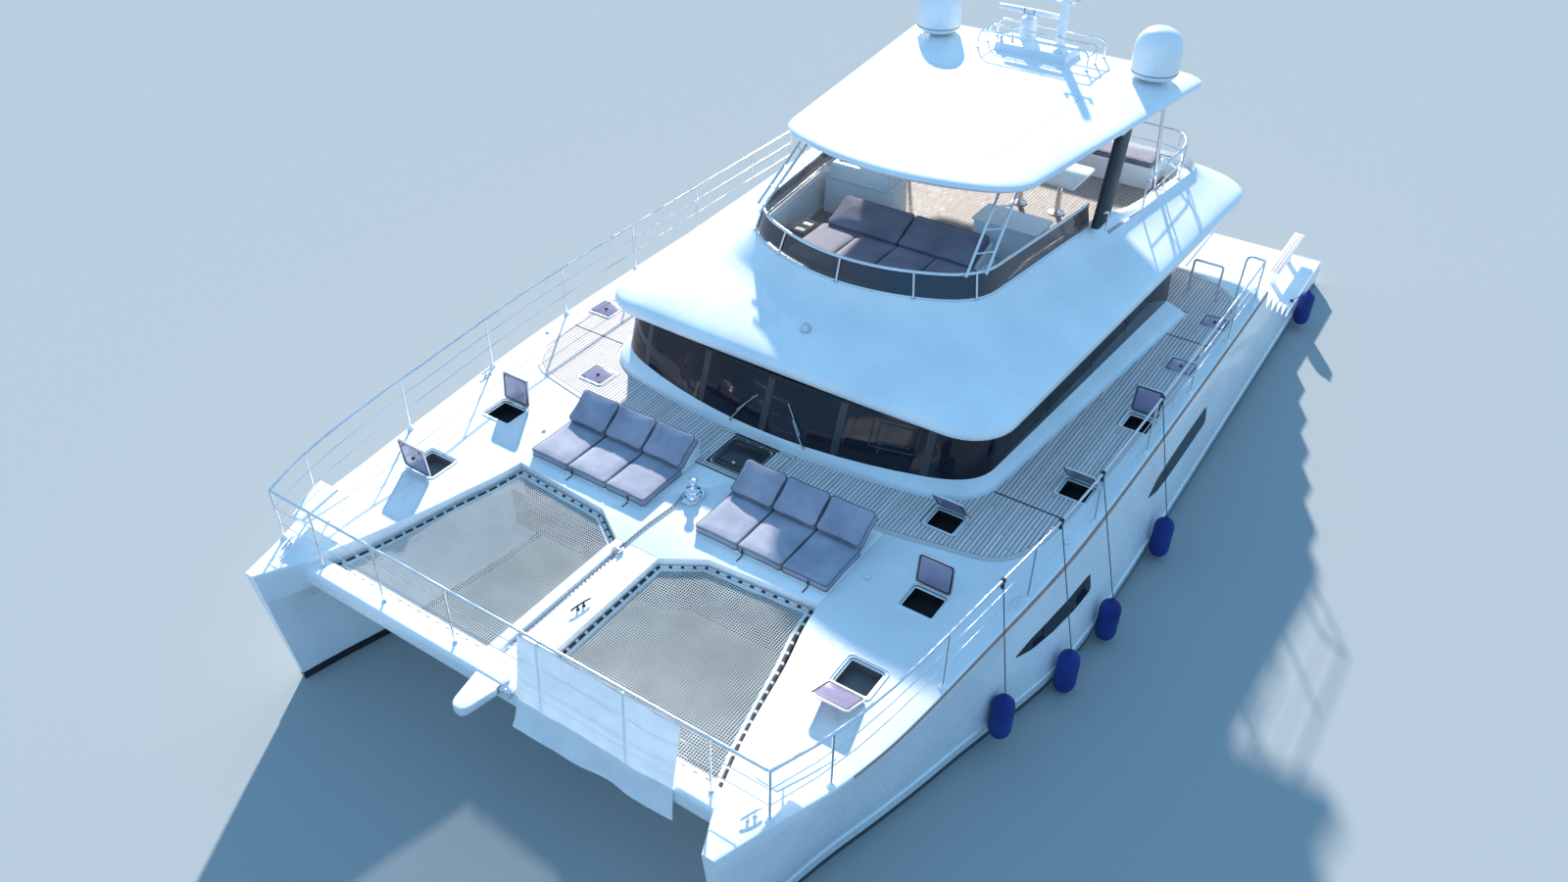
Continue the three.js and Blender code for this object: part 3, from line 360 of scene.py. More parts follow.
# %% Finish: metals
def metal_finish(name, colour, low, high, scale):
    material, tree, shader = finish(name, colour, low, metallic=1.0)
    worn = effect(tree, weathering, Broad=scale, Fine=90.0)
    tree.links.new(ranged(tree, worn["Patches"], low, high), shader.inputs["Roughness"])
    tree.links.new(blend_colours(tree, worn["Specks"], tuple(0.88 * c for c in colour), colour),
                   shader.inputs["Base Color"])
    bump(tree, shader, worn["Specks"], 0.0002, 0.3)
    return material


steel = metal_finish("polished_steel", (0.80, 0.82, 0.84), 0.08, 0.22, 6.0)
satin = metal_finish("satin_aluminium", (0.72, 0.74, 0.76), 0.28, 0.42, 8.0)
bronze = metal_finish("propeller_bronze", (0.60, 0.42, 0.20), 0.25, 0.45, 9.0)
galvanised = metal_finish("galvanised_steel", (0.30, 0.30, 0.31), 0.45, 0.65, 9.0)
print("finishes:", steel.name, satin.name, bronze.name)

# %% [markdown]
# **Glass** on this deckhouse is tinted nearly black and reflects the sky. A broad, faint purple-brown cast
# shows where the film inside the panes differs. The flybridge screen is lighter, and you can see through
# it.

# %% Finish: glass
dark_glass, tree, shader = finish("deckhouse_tint", (0.012, 0.013, 0.02), 0.04)
shader.inputs["Specular IOR Level"].default_value = 0.3
worn = effect(tree, weathering, Broad=0.8, Fine=30.0)
tree.links.new(blend_colours(tree, ranged(tree, worn["Patches"], 0.0, 1.0), (0.008, 0.010, 0.018),
                             (0.022, 0.018, 0.026)), shader.inputs["Base Color"])
tree.links.new(ranged(tree, worn["Specks"], 0.03, 0.08), shader.inputs["Roughness"])


def see_through(name, colour, alpha, rough=0.05):
    material, tree, shader = finish(name, colour, rough, coat=0.6)
    worn = effect(tree, weathering, Broad=1.2, Fine=40.0)
    tree.links.new(ranged(tree, worn["Patches"], alpha - 0.04, alpha + 0.04), shader.inputs["Alpha"])
    tree.links.new(ranged(tree, worn["Specks"], rough, rough + 0.05), shader.inputs["Roughness"])
    return material


screen_tint = see_through("smoked_screen", (0.02, 0.035, 0.06), 0.82)
# The hatch panes' lilac base colour is partly the acrylic's tint and partly a painted sky reflection.
acrylic_tint_and_painted_reflection = see_through("hatch_acrylic_tint_and_painted_reflection", (0.33, 0.28, 0.41), 0.78, 0.1)
print("finishes:", dark_glass.name, screen_tint.name, acrylic_tint_and_painted_reflection.name)

# %% [markdown]
# **Black parts**, from mullions to handles, are satin. **Cloths** take the weave: slate for cushions, white
# for the banner, royal blue for the knitted fender covers, pale grey for the trampoline webbing.

# %% Finish: black parts and cloths
def plain_finish(name, dark, light, low, high, scale=3.0, coat=0.0):
    material, tree, shader = finish(name, light, low, coat=coat)
    worn = effect(tree, weathering, Broad=scale, Fine=70.0)
    tree.links.new(blend_colours(tree, worn["Patches"], dark, light), shader.inputs["Base Color"])
    tree.links.new(ranged(tree, worn["Specks"], low, high), shader.inputs["Roughness"])
    bump(tree, shader, worn["Specks"], 0.0004, 0.4)
    return material


def cloth_finish(name, dark, light, pitch, depth, sheen=0.25):
    material, tree, shader = finish(name, light, 0.85, sheen=sheen)
    woven = effect(tree, weave, Pitch=pitch)
    faded = blend_colours(tree, ranged(tree, woven["Fade"], 0.0, 1.0), dark, light)
    shade = maths(tree, "MULTIPLY", maths(tree, "SUBTRACT", 1.0, woven["Height"]), 0.35)
    tree.links.new(blend_colours(tree, shade, faded, dark), shader.inputs["Base Color"])
    tree.links.new(ranged(tree, woven["Height"], 0.92, 0.78, 0.0, 1.0), shader.inputs["Roughness"])
    bump(tree, shader, woven["Height"], depth, 0.5)
    return material


black = plain_finish("satin_black", (0.010, 0.010, 0.012), (0.022, 0.022, 0.026), 0.28, 0.45, coat=0.3)
rubber = plain_finish("black_rubber", (0.014, 0.014, 0.015), (0.03, 0.03, 0.032), 0.6, 0.8)
pane_edge = plain_finish("pane_edge_film", (0.030, 0.028, 0.034), (0.052, 0.048, 0.056), 0.3, 0.5)
# Hatch wells and holes are painted dark as painted shade: near black here, and a lighter grey on the next
# line for the bow lockers, where the sun reaches in.
painted_shade_inside = plain_finish("painted_shade_locker_inside", (0.006, 0.006, 0.008), (0.014, 0.014, 0.017), 0.8, 0.95)
bow_locker_painted_half_shade = plain_finish("bow_locker_painted_half_shade", (0.10, 0.105, 0.11), (0.17, 0.175, 0.18), 0.5, 0.7)
# This dark finish is real antifouling on the keels and running gear, and painted shade on the bridge deck's
# underside.
antifouling = plain_finish("antifouling", (0.02, 0.024, 0.035), (0.045, 0.05, 0.065), 0.7, 0.9, 1.6)
engine_grey = plain_finish("engine_enamel", (0.30, 0.32, 0.34), (0.42, 0.44, 0.47), 0.3, 0.5)
strake = plain_finish("rub_strake", (0.30, 0.17, 0.13), (0.45, 0.27, 0.20), 0.45, 0.65)
cushion_cloth = cloth_finish("cushion_slate", (0.25, 0.26, 0.34), (0.39, 0.385, 0.46), 0.005, 0.0012)
fly_cloth = cloth_finish("fly_cushion_slate", (0.17, 0.155, 0.21), (0.25, 0.235, 0.31), 0.005, 0.0012)
piping = cloth_finish("cushion_piping", (0.05, 0.055, 0.07), (0.09, 0.10, 0.12), 0.004, 0.001)
banner_cloth = cloth_finish("banner_white", (0.78, 0.79, 0.81), (0.92, 0.92, 0.92), 0.004, 0.0006, 0.1)
thin_cloth = banner_cloth.node_tree.nodes["Principled BSDF"]
thin_cloth.inputs["Subsurface Weight"].default_value = 0.5
thin_cloth.inputs["Subsurface Radius"].default_value = (0.8, 0.9, 1.0)
thin_cloth.inputs["Subsurface Scale"].default_value = 0.004
cover_knit = cloth_finish("fender_cover_blue", (0.003, 0.018, 0.15), (0.008, 0.042, 0.27), 0.009, 0.003, 0.05)
webbing = cloth_finish("net_webbing", (0.60, 0.58, 0.55), (0.74, 0.72, 0.68), 0.006, 0.001, 0.1)
rope_white = cloth_finish("rope_white", (0.55, 0.56, 0.56), (0.80, 0.80, 0.78), 0.010, 0.003, 0.2)
rope_black = cloth_finish("rope_black", (0.012, 0.012, 0.014), (0.035, 0.035, 0.04), 0.010, 0.003, 0.2)
print("finishes:", len(bpy.data.materials))

# %% [markdown]
# ## Modelling helpers
#
# Every operator works on what is selected, so each helper first selects one object and nothing else.
# `modify` adds a modifier, sets it and applies it. `dress` names a finished piece, lets it ride on a body of
# the boat and hides the solids it stands for.

# %% Helpers: selecting and modifying
def only(*objects):
    if bpy.context.object and bpy.context.object.mode != "OBJECT":
        bpy.ops.object.mode_set(mode="OBJECT")
    bpy.ops.object.select_all(action="DESELECT")
    for obj in objects:
        obj.select_set(True)
    bpy.context.view_layer.objects.active = objects[0]


def settled(obj):
    only(obj)
    bpy.ops.object.transform_apply(location=True, rotation=True, scale=True)
    return obj


def modify(obj, kind, **values):
    only(obj)
    modifier = obj.modifiers.new(kind.lower(), kind)
    for label, value in values.items():
        setattr(modifier, label, value)
    bpy.ops.object.modifier_apply(modifier=modifier.name)
    return obj


def smooth(obj, degrees=35):
    only(obj)
    bpy.ops.object.shade_smooth_by_angle(angle=math.radians(degrees))
    return obj


def rounded(obj, width, segments=3, degrees=30):
    modify(obj, "BEVEL", width=width, segments=segments, limit_method="ANGLE",
           angle_limit=math.radians(degrees))
    return smooth(obj)


def cut(obj, *tools, operation="DIFFERENCE"):
    for tool in tools:
        modify(obj, "BOOLEAN", object=tool, operation=operation, solver="EXACT")
        bpy.data.objects.remove(tool)
    return obj


def joined(*objects):
    only(*objects)
    if len(objects) > 1:
        bpy.ops.object.join()
    return bpy.context.object


def coated(obj, material):
    obj.data.materials.clear()
    obj.data.materials.append(material)
    return obj


def dress(obj, name, body, slot, *nodes):
    obj.name = name
    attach(obj, body)
    if nodes:
        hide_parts(*nodes)
    return obj


def mirrored(obj, s):
    """The starboard twin of a port piece, with its faces still pointing out."""
    if s < 0:
        only(obj)
        obj.scale.x = -1
        settled(obj)
        bpy.ops.object.mode_set(mode="EDIT")
        bpy.ops.mesh.select_all(action="SELECT")
        bpy.ops.mesh.flip_normals()
        bpy.ops.object.mode_set(mode="OBJECT")
    return obj


def twin(obj):
    copy = obj.copy()
    copy.data = obj.data.copy()
    bpy.context.scene.collection.objects.link(copy)
    return copy


# %% [markdown]
# Simple starts: a cuboid between two corners, a turned body spun from its half profile, a pipe along a
# route with rounded corners, and a copy of a solid whose loose triangles are merged into clean faces.

# %% Helpers: cuboid, turned body, pipe, copy of a solid
def cuboid(low, high):
    low, high = Vector(low), Vector(high)
    bpy.ops.mesh.primitive_cube_add(size=1, location=(low + high) / 2)
    bpy.context.object.scale = high - low
    return settled(bpy.context.object)


def edges_of(name, points):
    mesh = bpy.data.meshes.new(name)
    mesh.from_pydata([tuple(p) for p in points], [(i, i + 1) for i in range(len(points) - 1)], [])
    obj = bpy.data.objects.new(name, mesh)
    bpy.context.scene.collection.objects.link(obj)
    return obj


def turned(profile, at, steps=32, axis="Z"):
    obj = edges_of("turned", [(r, 0, z) for r, z in profile])
    only(obj)
    bpy.ops.object.mode_set(mode="EDIT")
    bpy.ops.mesh.select_all(action="SELECT")
    bpy.ops.mesh.spin(steps=steps, angle=2 * math.pi, center=(0, 0, 0), axis=(0, 0, 1))
    bpy.ops.mesh.select_all(action="SELECT")
    bpy.ops.mesh.remove_doubles(threshold=1e-5)
    bpy.ops.mesh.normals_make_consistent(inside=False)
    bpy.ops.object.mode_set(mode="OBJECT")
    obj.location = at
    obj.rotation_euler = {"Z": (0, 0, 0), "Y": (-math.pi / 2, 0, 0), "X": (0, math.pi / 2, 0)}[axis]
    return smooth(settled(obj))


def eased(points, bend, steps=5, closed=False):
    """The same route with each corner replaced by a curve that starts `bend` before it."""
    points = [Vector(p) for p in points]
    count = len(points)
    route = []
    for i, p in enumerate(points):
        if not closed and i in (0, count - 1):
            route.append(p)
            continue
        before, after = points[i - 1], points[(i + 1) % count]
        a = p + (before - p).normalized() * min(bend, (before - p).length * 0.49)
        b = p + (after - p).normalized() * min(bend, (after - p).length * 0.49)
        for k in range(steps + 1):
            t = k / steps
            route.append((1 - t) ** 2 * a + 2 * t * (1 - t) * p + t * t * b)
    return route


def pipe(points, radius, bend=0.0, ring=2, closed=False):
    route = eased(points, bend, closed=closed) if bend else [Vector(p) for p in points]
    curve = bpy.data.curves.new("pipe", "CURVE")
    curve.dimensions = "3D"
    curve.bevel_depth = radius
    curve.bevel_resolution = ring
    curve.use_fill_caps = True
    spline = curve.splines.new("POLY")
    spline.points.add(len(route) - 1)
    for point, place in zip(spline.points, route):
        point.co = (*place, 1)
    spline.use_cyclic_u = closed
    obj = bpy.data.objects.new("pipe", curve)
    bpy.context.scene.collection.objects.link(obj)
    only(obj)
    bpy.ops.object.convert(target="MESH")
    return smooth(bpy.context.object, 60)


def copy_of(node, flat_degrees=1.0):
    obj = twin(NODES[node])
    for key in list(obj.keys()):
        del obj[key]
    obj.parent = None
    obj.data.materials.clear()
    only(obj)
    bpy.ops.object.mode_set(mode="EDIT")
    bpy.ops.mesh.select_all(action="SELECT")
    bpy.ops.mesh.remove_doubles(threshold=1e-4)
    bpy.ops.mesh.dissolve_limited(angle_limit=math.radians(flat_degrees))
    bpy.ops.object.mode_set(mode="OBJECT")
    return obj


# %% [markdown]
# A **loft** carries a closed ring from section to section. The first ring is a circle primitive, filled.
# Its face is extruded once for each further section, and after each step the new ring takes the shape of
# that section.

# %% Helper: loft
def shape_ring(mesh, indices, ring):
    for index, place in zip(indices, ring):
        mesh.vertices[index].co = place


def loft(rings):
    count = len(rings[0])
    bpy.ops.mesh.primitive_circle_add(vertices=count, radius=1, fill_type="NGON")
    obj = bpy.context.object
    only(obj)
    current = list(range(count))
    shape_ring(obj.data, current, rings[0])
    for ring in rings[1:]:
        bpy.ops.object.mode_set(mode="EDIT")
        bpy.ops.mesh.extrude_region_move()
        bpy.ops.object.mode_set(mode="OBJECT")
        mesh = obj.data
        start = len(mesh.vertices) - count
        places = {tuple(round(c, 5) for c in mesh.vertices[i].co): k for k, i in enumerate(current)}
        order = [0] * count
        for i in range(start, start + count):
            order[places[tuple(round(c, 5) for c in mesh.vertices[i].co)]] = i
        current = order
        shape_ring(mesh, current, ring)
    bpy.ops.object.mode_set(mode="EDIT")
    bpy.ops.mesh.select_all(action="SELECT")
    bpy.ops.mesh.normals_make_consistent(inside=False)
    bpy.ops.object.mode_set(mode="OBJECT")
    return obj


def fair(xs, ys, x):
    """A smooth curve through the points (xs, ys) that never overshoots them, read at x."""
    xs, ys = np.asarray(xs, float), np.asarray(ys, float)
    steps, slopes = np.diff(xs), np.diff(ys) / np.diff(xs)
    tangents = np.zeros_like(ys)
    for i in range(1, len(xs) - 1):
        if slopes[i - 1] * slopes[i] > 0:
            tangents[i] = 2 / (1 / slopes[i - 1] + 1 / slopes[i])
    tangents[0], tangents[-1] = slopes[0], slopes[-1]
    i = int(np.clip(np.searchsorted(xs, x) - 1, 0, len(steps) - 1))
    t = (x - xs[i]) / steps[i]
    low, high = ys[i], ys[i + 1]
    rise_low, rise_high = tangents[i] * steps[i], tangents[i + 1] * steps[i]
    return ((2 * t**3 - 3 * t**2 + 1) * low + (t**3 - 2 * t**2 + t) * rise_low
            + (3 * t**2 - 2 * t**3) * high + (t**3 - t**2) * rise_high)


print("helpers ready")

# %% [markdown]
# ## Hulls and side decks
#
# A hull is known by its sections. This table gives, at stations from bow to stern, how far out the deck
# edge, the knuckle and the waterline lie, where the inner side lies, and the depth. Between the stations
# `fair` draws the curve, so forty narrow sections follow the same lines without flat facets. A section runs
# from the keel round the bilge, up the topsides with a groove over the knuckle, across the deck and down
# the inner wall.

# %% Hull sections
DECK_Z, FLANGE_Z, KNUCKLE_Z, WALL_TOP_Z = 1.90, 1.55, 0.33, 1.30
ON_DECK = 1.9005
STEM_RAKE = 0.115
STATIONS = (-9.58, -9.0, -8.0, -7.0, -6.0, -2.9, 0.0, 5.0, 9.5)
LINES = {
    "deck_out": (3.56, 3.75, 4.10, 4.28, 4.40, 4.685, 4.75, 4.80, 4.75),
    "knuckle": (3.49, 3.60, 3.80, 4.08, 4.33, 4.97, 5.00, 5.00, 5.00),
    "water": (3.48, 3.56, 3.76, 4.04, 4.29, 4.94, 4.98, 4.98, 4.98),
    "deck_in": (3.40, 3.15, 2.86, 2.66, 2.46, 2.46, 2.46, 2.46, 2.46),
    "wall": (3.41, 3.30, 3.08, 2.95, 2.83, 2.745, 2.745, 2.745, 2.745),
    "depth": (0.28, 0.48, 0.56, 0.585, 0.60, 0.62, 0.62, 0.52, 0.34),
    "deck_z": (2.04, 2.005, 1.96, 1.90, 1.90, 1.90, 1.90, 1.90, 1.90),
    "rake": (1, 0.8, 0.4, 0.2, 0, 0, 0, 0, 0),
}


def line(name, y):
    return float(fair(STATIONS, LINES[name], y))


def hull_ring(y):
    deck_out, knuckle, water, deck_in, wall, depth, deck_z, rake = (line(name, y) for name in LINES)
    keel, half = (water + wall) / 2, (water - wall) / 2
    bilge = []
    for k in range(1, 7):
        angle = k * math.pi / 14
        bilge.append((half * math.sin(angle) ** 0.85, -depth * math.cos(angle) ** 0.75))
    ring = [(keel, -depth)] + [(keel + x, z) for x, z in bilge] + [(water, 0)]
    ring += [(knuckle - 0.004, KNUCKLE_Z - 0.045), (knuckle, KNUCKLE_Z - 0.03), (knuckle, KNUCKLE_Z)]
    side = lambda z: knuckle + (deck_out - knuckle) * (z - KNUCKLE_Z) / (deck_z - KNUCKLE_Z)
    ring += [(side(KNUCKLE_Z + 0.012) - 0.016, KNUCKLE_Z + 0.012), (side(0.37) - 0.012, 0.37)]
    ring += [(side(z), z) for z in (0.8, 1.3, 1.72)]
    ring += [(deck_out, deck_z - 0.035), (deck_out - 0.010, deck_z - 0.010), (deck_out - 0.035, deck_z)]
    edge = 0.02 if y < -6.1 else 0.002
    ring += [(deck_in + edge, deck_z), (deck_in, deck_z - edge), (deck_in, FLANGE_Z), (wall, WALL_TOP_Z),
             (wall, 0.0)]
    ring += [(keel - x, z) for x, z in reversed(bilge)]
    return [(x, y + rake * STEM_RAKE * (deck_z - z), z) for x, z in ring]


places = [-9.58, -9.5, -9.35, -9.2, -9.0, -8.75, -8.5, -8.25, -8.0, -7.75, -7.5, -7.25, -7.0, -6.75, -6.5,
          -6.25, -6.0]
places += [-5.6, -5.2, -4.8, -4.4, -4.0, -3.5, -2.9, -2.2, -1.4, 0.0, 1.5, 3.0, 4.2, 5.0, 6.0, 7.0, 8.0,
           9.0, 9.5]
HULL_FORM = loft([hull_ring(y) for y in places])
print("hull form:", len(HULL_FORM.data.polygons), "faces")

# %% [markdown]
# The stern comes down in steps, cut out with cuboids. The form is then parted at the flange:
# the lower part is the hull and the upper part the deck moulding. `bisect` cuts a mesh by a plane and can
# fill the cut, which is the quick way to part a moulding where the real one is joined. The top tread lies
# at the flange's own height, so both cuts are a millimetre off it: a cut in the plane of a face would leave
# that face behind.

# %% Cut the stern steps, part hull from deck
STERN_STEPS = ((5.0, 1.55), (5.45, 1.29), (5.9, 1.03), (6.35, 0.77), (6.8, 0.51))
for step_y, tread_z in STERN_STEPS:
    cut(HULL_FORM, cuboid((2.0, step_y, tread_z), (5.3, 9.8, 2.5)))


def parted(obj, z, keep_top):
    part = twin(obj)
    only(part)
    bpy.ops.object.mode_set(mode="EDIT")
    bpy.ops.mesh.select_all(action="SELECT")
    bpy.ops.mesh.bisect(plane_co=(0, 0, z), plane_no=(0, 0, 1), use_fill=True, clear_inner=keep_top,
                        clear_outer=not keep_top)
    bpy.ops.object.mode_set(mode="OBJECT")
    return part


JOINT = 0.001
hull_skin = parted(HULL_FORM, FLANGE_Z - JOINT, False)
deck_skin = parted(HULL_FORM, FLANGE_Z + JOINT, True)
print("parted at", FLANGE_Z)

# %% [markdown]
# The topsides carry details of their own. A chine strip runs along the hull a hand above the waterline and
# throws the spray outwards. Long dark windows are let into the side; each is a thin panel whose back is
# buried in the hull. A brown rub strake runs round the deck edge. All of them follow the table of lines,
# read at each station.

# %% Windows and rub strake
def side_x(y, z):
    """How far out the topsides lie at height z."""
    z = max(z, KNUCKLE_Z)
    low, high, deck_z = line("knuckle", y), line("deck_out", y), line("deck_z", y)
    return low + (high - low) * (z - KNUCKLE_Z) / (deck_z - KNUCKLE_Z)


def along(start, stop, count):
    return [start + (stop - start) * k / (count - 1) for k in range(count)]


def ribbon(rows):
    """A closed strip through a list of small rings, one for each station."""
    return loft(rows)


def strake_ring(y, out=0.014, low=0.065, high=0.02):
    shift = line("rake", y) * STEM_RAKE * (line("deck_z", y) - 1.9)
    top = line("deck_z", y)
    x_low, x_high = side_x(y, top - low), side_x(y, top - high)
    return [(x_low - 0.02, y + shift, top - low), (x_low + out * 0.7, y + shift, top - low),
            (x_low + out, y + shift, top - low + 0.012), (x_high + out, y + shift, top - high - 0.012),
            (x_high + out * 0.5, y + shift, top - high), (x_high - 0.02, y + shift, top - high)]


def window_ring(y, low, high, proud):
    return [(side_x(y, low) - 0.02, y, low), (side_x(y, low) + proud, y, low),
            (side_x(y, high) + proud, y, high), (side_x(y, high) - 0.02, y, high)]


WINDOWS = (
    ((-4.72, 1.17, 1.19), (-4.4, 1.07, 1.26), (-3.9, 1.02, 1.28), (-3.35, 1.00, 1.28), (-2.92, 1.00, 1.27),
     (-2.86, 1.02, 1.25)),
    ((-0.75, 1.15, 1.17), (-0.4, 1.05, 1.27), (0.2, 1.01, 1.30), (1.0, 1.00, 1.31), (1.75, 1.00, 1.30),
     (1.82, 1.02, 1.28)),
)
for side, s in SIDES:
    hull = mirrored(twin(hull_skin), s)
    dress(smooth(coated(hull, topsides), 24), "hull_skin_" + side, "boat", "gelcoat", "hull_" + side)
    strip = mirrored(coated(rounded(ribbon([strake_ring(y) for y in along(-7.9, 4.95, 60)]), 0.003, 2),
                            strake), s)
    dress(strip, "rub_strake_" + side, "boat", "black_plastic")
    panes = [ribbon([window_ring(y, low, high, 0.004) for y, low, high in outline]) for outline in WINDOWS]
    dress(smooth(coated(mirrored(joined(*panes), s), dark_glass)), "hull_windows_" + side, "boat",
          "dark_glass")
bpy.data.objects.remove(hull_skin)
print("hulls dressed")

# %% [markdown]
# ## Deck moulding
#
# The side deck is the upper part of the same form. Each deck hatch sits in a well with a hole below it. The
# well is cut as a rounded cuboid. Non-skid covers the flat deck inside a smooth margin: those faces are
# chosen by their height and by facing up.

# %% Hatch table and rounded plates
HATCHES = {
    1: (3.45, -6.67, 0.52, 0.50), 2: (3.48, -5.19, 0.52, 0.48), 3: (3.00, -3.69, 0.48, 0.46),
    4: (4.18, -2.11, 0.48, 0.46), 5: (4.33, -0.12, 0.46, 0.46), 6: (4.35, 1.70, 0.46, 0.46),
    7: (4.37, 3.33, 0.46, 0.46),
}
CENTRE_HATCH = (0.0, -4.11, 0.64, 0.64)


def rounded_plate(x, y, width, length, low, high, corner, steps=6):
    """A plate with rounded corners: a circle, its quarters moved out to the corners, filled and extruded."""
    ring = []
    for k in range(4 * steps):
        angle = 2 * math.pi * (k + 0.5) / (4 * steps)
        cx = math.copysign(width / 2 - corner, math.cos(angle))
        cy = math.copysign(length / 2 - corner, math.sin(angle))
        quarter = (k % steps) / (steps - 1) * math.pi / 2 + (k // steps) * math.pi / 2
        ring.append((x + cx + corner * math.cos(quarter), y + cy + corner * math.sin(quarter)))
    return loft([[(px, py, low) for px, py in ring], [(px, py, high) for px, py in ring]])


def frame_ring(x, y, width, length, low, high, corner, wall):
    outer = rounded_plate(x, y, width, length, low, high, corner)
    inner = rounded_plate(x, y, width - 2 * wall, length - 2 * wall, low - 0.01, high + 0.01,
                          max(corner - wall, 0.01))
    return cut(outer, inner)


print("hatches each side:", len(HATCHES))

# %% Cut the wells and dress the side decks
WELL_FLOOR = 1.56
BOW_LOCKER_END = -6.3
for x, y, width, length in HATCHES.values():
    well = rounded_plate(x, y, width - 0.05, length - 0.05, WELL_FLOOR, 2.2, 0.05)
    cut(deck_skin, well)


def in_nonskid(obj, is_deck, other=nonskid):
    """Give the faces that pass the test the second material."""
    obj.data.materials.append(other)
    for face in obj.data.polygons:
        if face.normal.z > 0.97 and is_deck(face.center):
            face.material_index = 1
    return obj


def in_a_well(c):
    """Is this face part of the wall or the floor of a hatch well?"""
    return c.z < 1.885 and any(abs(c.x - x) < width / 2 and abs(c.y - y) < length / 2
                               for x, y, width, length in HATCHES.values())


for side, s in SIDES:
    moulding = coated(twin(deck_skin), gelcoat)
    only(moulding)
    in_nonskid(moulding, lambda c: 1.89 < c.z < 1.97 and c.y > -8.6)
    # The walls and floors of the hatch wells take the two painted shade finishes: near black, and a lighter
    # grey in the bow lockers.
    for inside in (painted_shade_inside, bow_locker_painted_half_shade):
        moulding.data.materials.append(inside)
    for face in moulding.data.polygons:
        if in_a_well(face.center):
            face.material_index = 2 if face.center.y > BOW_LOCKER_END else 3
    moulding = mirrored(moulding, s)
    dress(smooth(moulding, 30), "side_deck_" + side, "boat", "gelcoat", "deck_" + side)
bpy.data.objects.remove(deck_skin)
bpy.data.objects.remove(HULL_FORM)
print("side decks dressed")

# %% [markdown]
# A hatch has a pale rounded rim let into the deck, a gutter, and a tub that goes down to a hole painted near
# black as painted shade, or, in the bow lockers, to a floor painted a lighter grey as a lighter painted
# shade, where the sun reaches in the picture. The lid is a satin frame round a pane of tinted acrylic, whose
# lilac colour is partly its tint and partly a painted sky reflection. It rides on its own body, so it swings
# with the solid lid. A lid that the picture shows open is built flat and then turned about its hinge by the
# same angle.

# %% Rims, tubs and lids
LID_LOW, LID_HIGH = 1.9008, 1.918
RIM_LOW, RIM_HIGH = 1.8985, 1.9125
LEDGE_LOW, LEDGE_HIGH = 1.868, 1.884
OPEN_LIDS = {"port": (155, 95, 55, 50, 97, 0, 0), "starboard": (95, 95, 0, 0, 0, 0, 0)}


def lid_parts(x, y, width, length, toward_hinge):
    frame_piece = rounded(frame_ring(x, y, width - 0.012, length - 0.012, LID_LOW, LID_HIGH + 0.006, 0.055,
                                     0.021), 0.004, 2)
    seal = frame_ring(x, y, width - 0.056, length - 0.056, LID_LOW + 0.001, LID_HIGH + 0.004, 0.045, 0.017)
    pane = rounded(rounded_plate(x, y, width - 0.092, length - 0.092, LID_LOW + 0.002, LID_HIGH + 0.002,
                                 0.03), 0.003, 2)
    knob = turned([(0, 0.030), (0.016, 0.030), (0.024, 0.024), (0.026, 0.012), (0.022, 0.0), (0, 0.0)],
                  (x, y, LID_HIGH + 0.001), 20)
    latches = []
    for dx in (-0.3, 0.3):
        spot = (x + dx * width, y - toward_hinge * length * 0.33, LID_HIGH + 0.001)
        latches.append(turned([(0, 0.012), (0.012, 0.012), (0.016, 0.006), (0.016, 0.0), (0, 0.0)], spot, 16))
    return frame_piece, pane, joined(seal, knob, *latches)


def knuckles(x, y, start, length):
    """A pair of hinge barrels on a line across the boat."""
    spans = [(x + start, x + start + length), (x - start - length, x - start)]
    return joined(*[pipe([(a, y, 1.9183), (b, y, 1.9183)], 0.009, ring=3) for a, b in spans])


def swung(obj, y, degrees):
    """Turn a piece about the hinge line across the boat at y."""
    hinge = Matrix.Translation((0, y, 1.9183))
    obj.matrix_world = hinge @ Matrix.Rotation(math.radians(degrees), 4, "X") @ hinge.inverted()
    return settled(obj)


def lid_pieces(name, body, nodes, place, toward_hinge, opened, s):
    x, y, width, length = place
    hinge_y = y + toward_hinge * length / 2
    frame_piece, pane, fittings = lid_parts(x, y, width, length, toward_hinge)
    arms = [joined(frame_piece, knuckles(x, hinge_y, 0.1403, 0.03)), pane, fittings]
    # The pane's finish carries a painted sky reflection in its colour.
    for part, material, label, slot in zip(arms, (satin, acrylic_tint_and_painted_reflection, black), ("frame", "pane", "fittings"),
                                           ("steel", "hatch_acrylic", "black_plastic")):
        part = mirrored(swung(coated(part, material), hinge_y, -toward_hinge * opened), s)
        dress(part, name + "_" + label, body, slot, *(nodes if label == "pane" else ()))


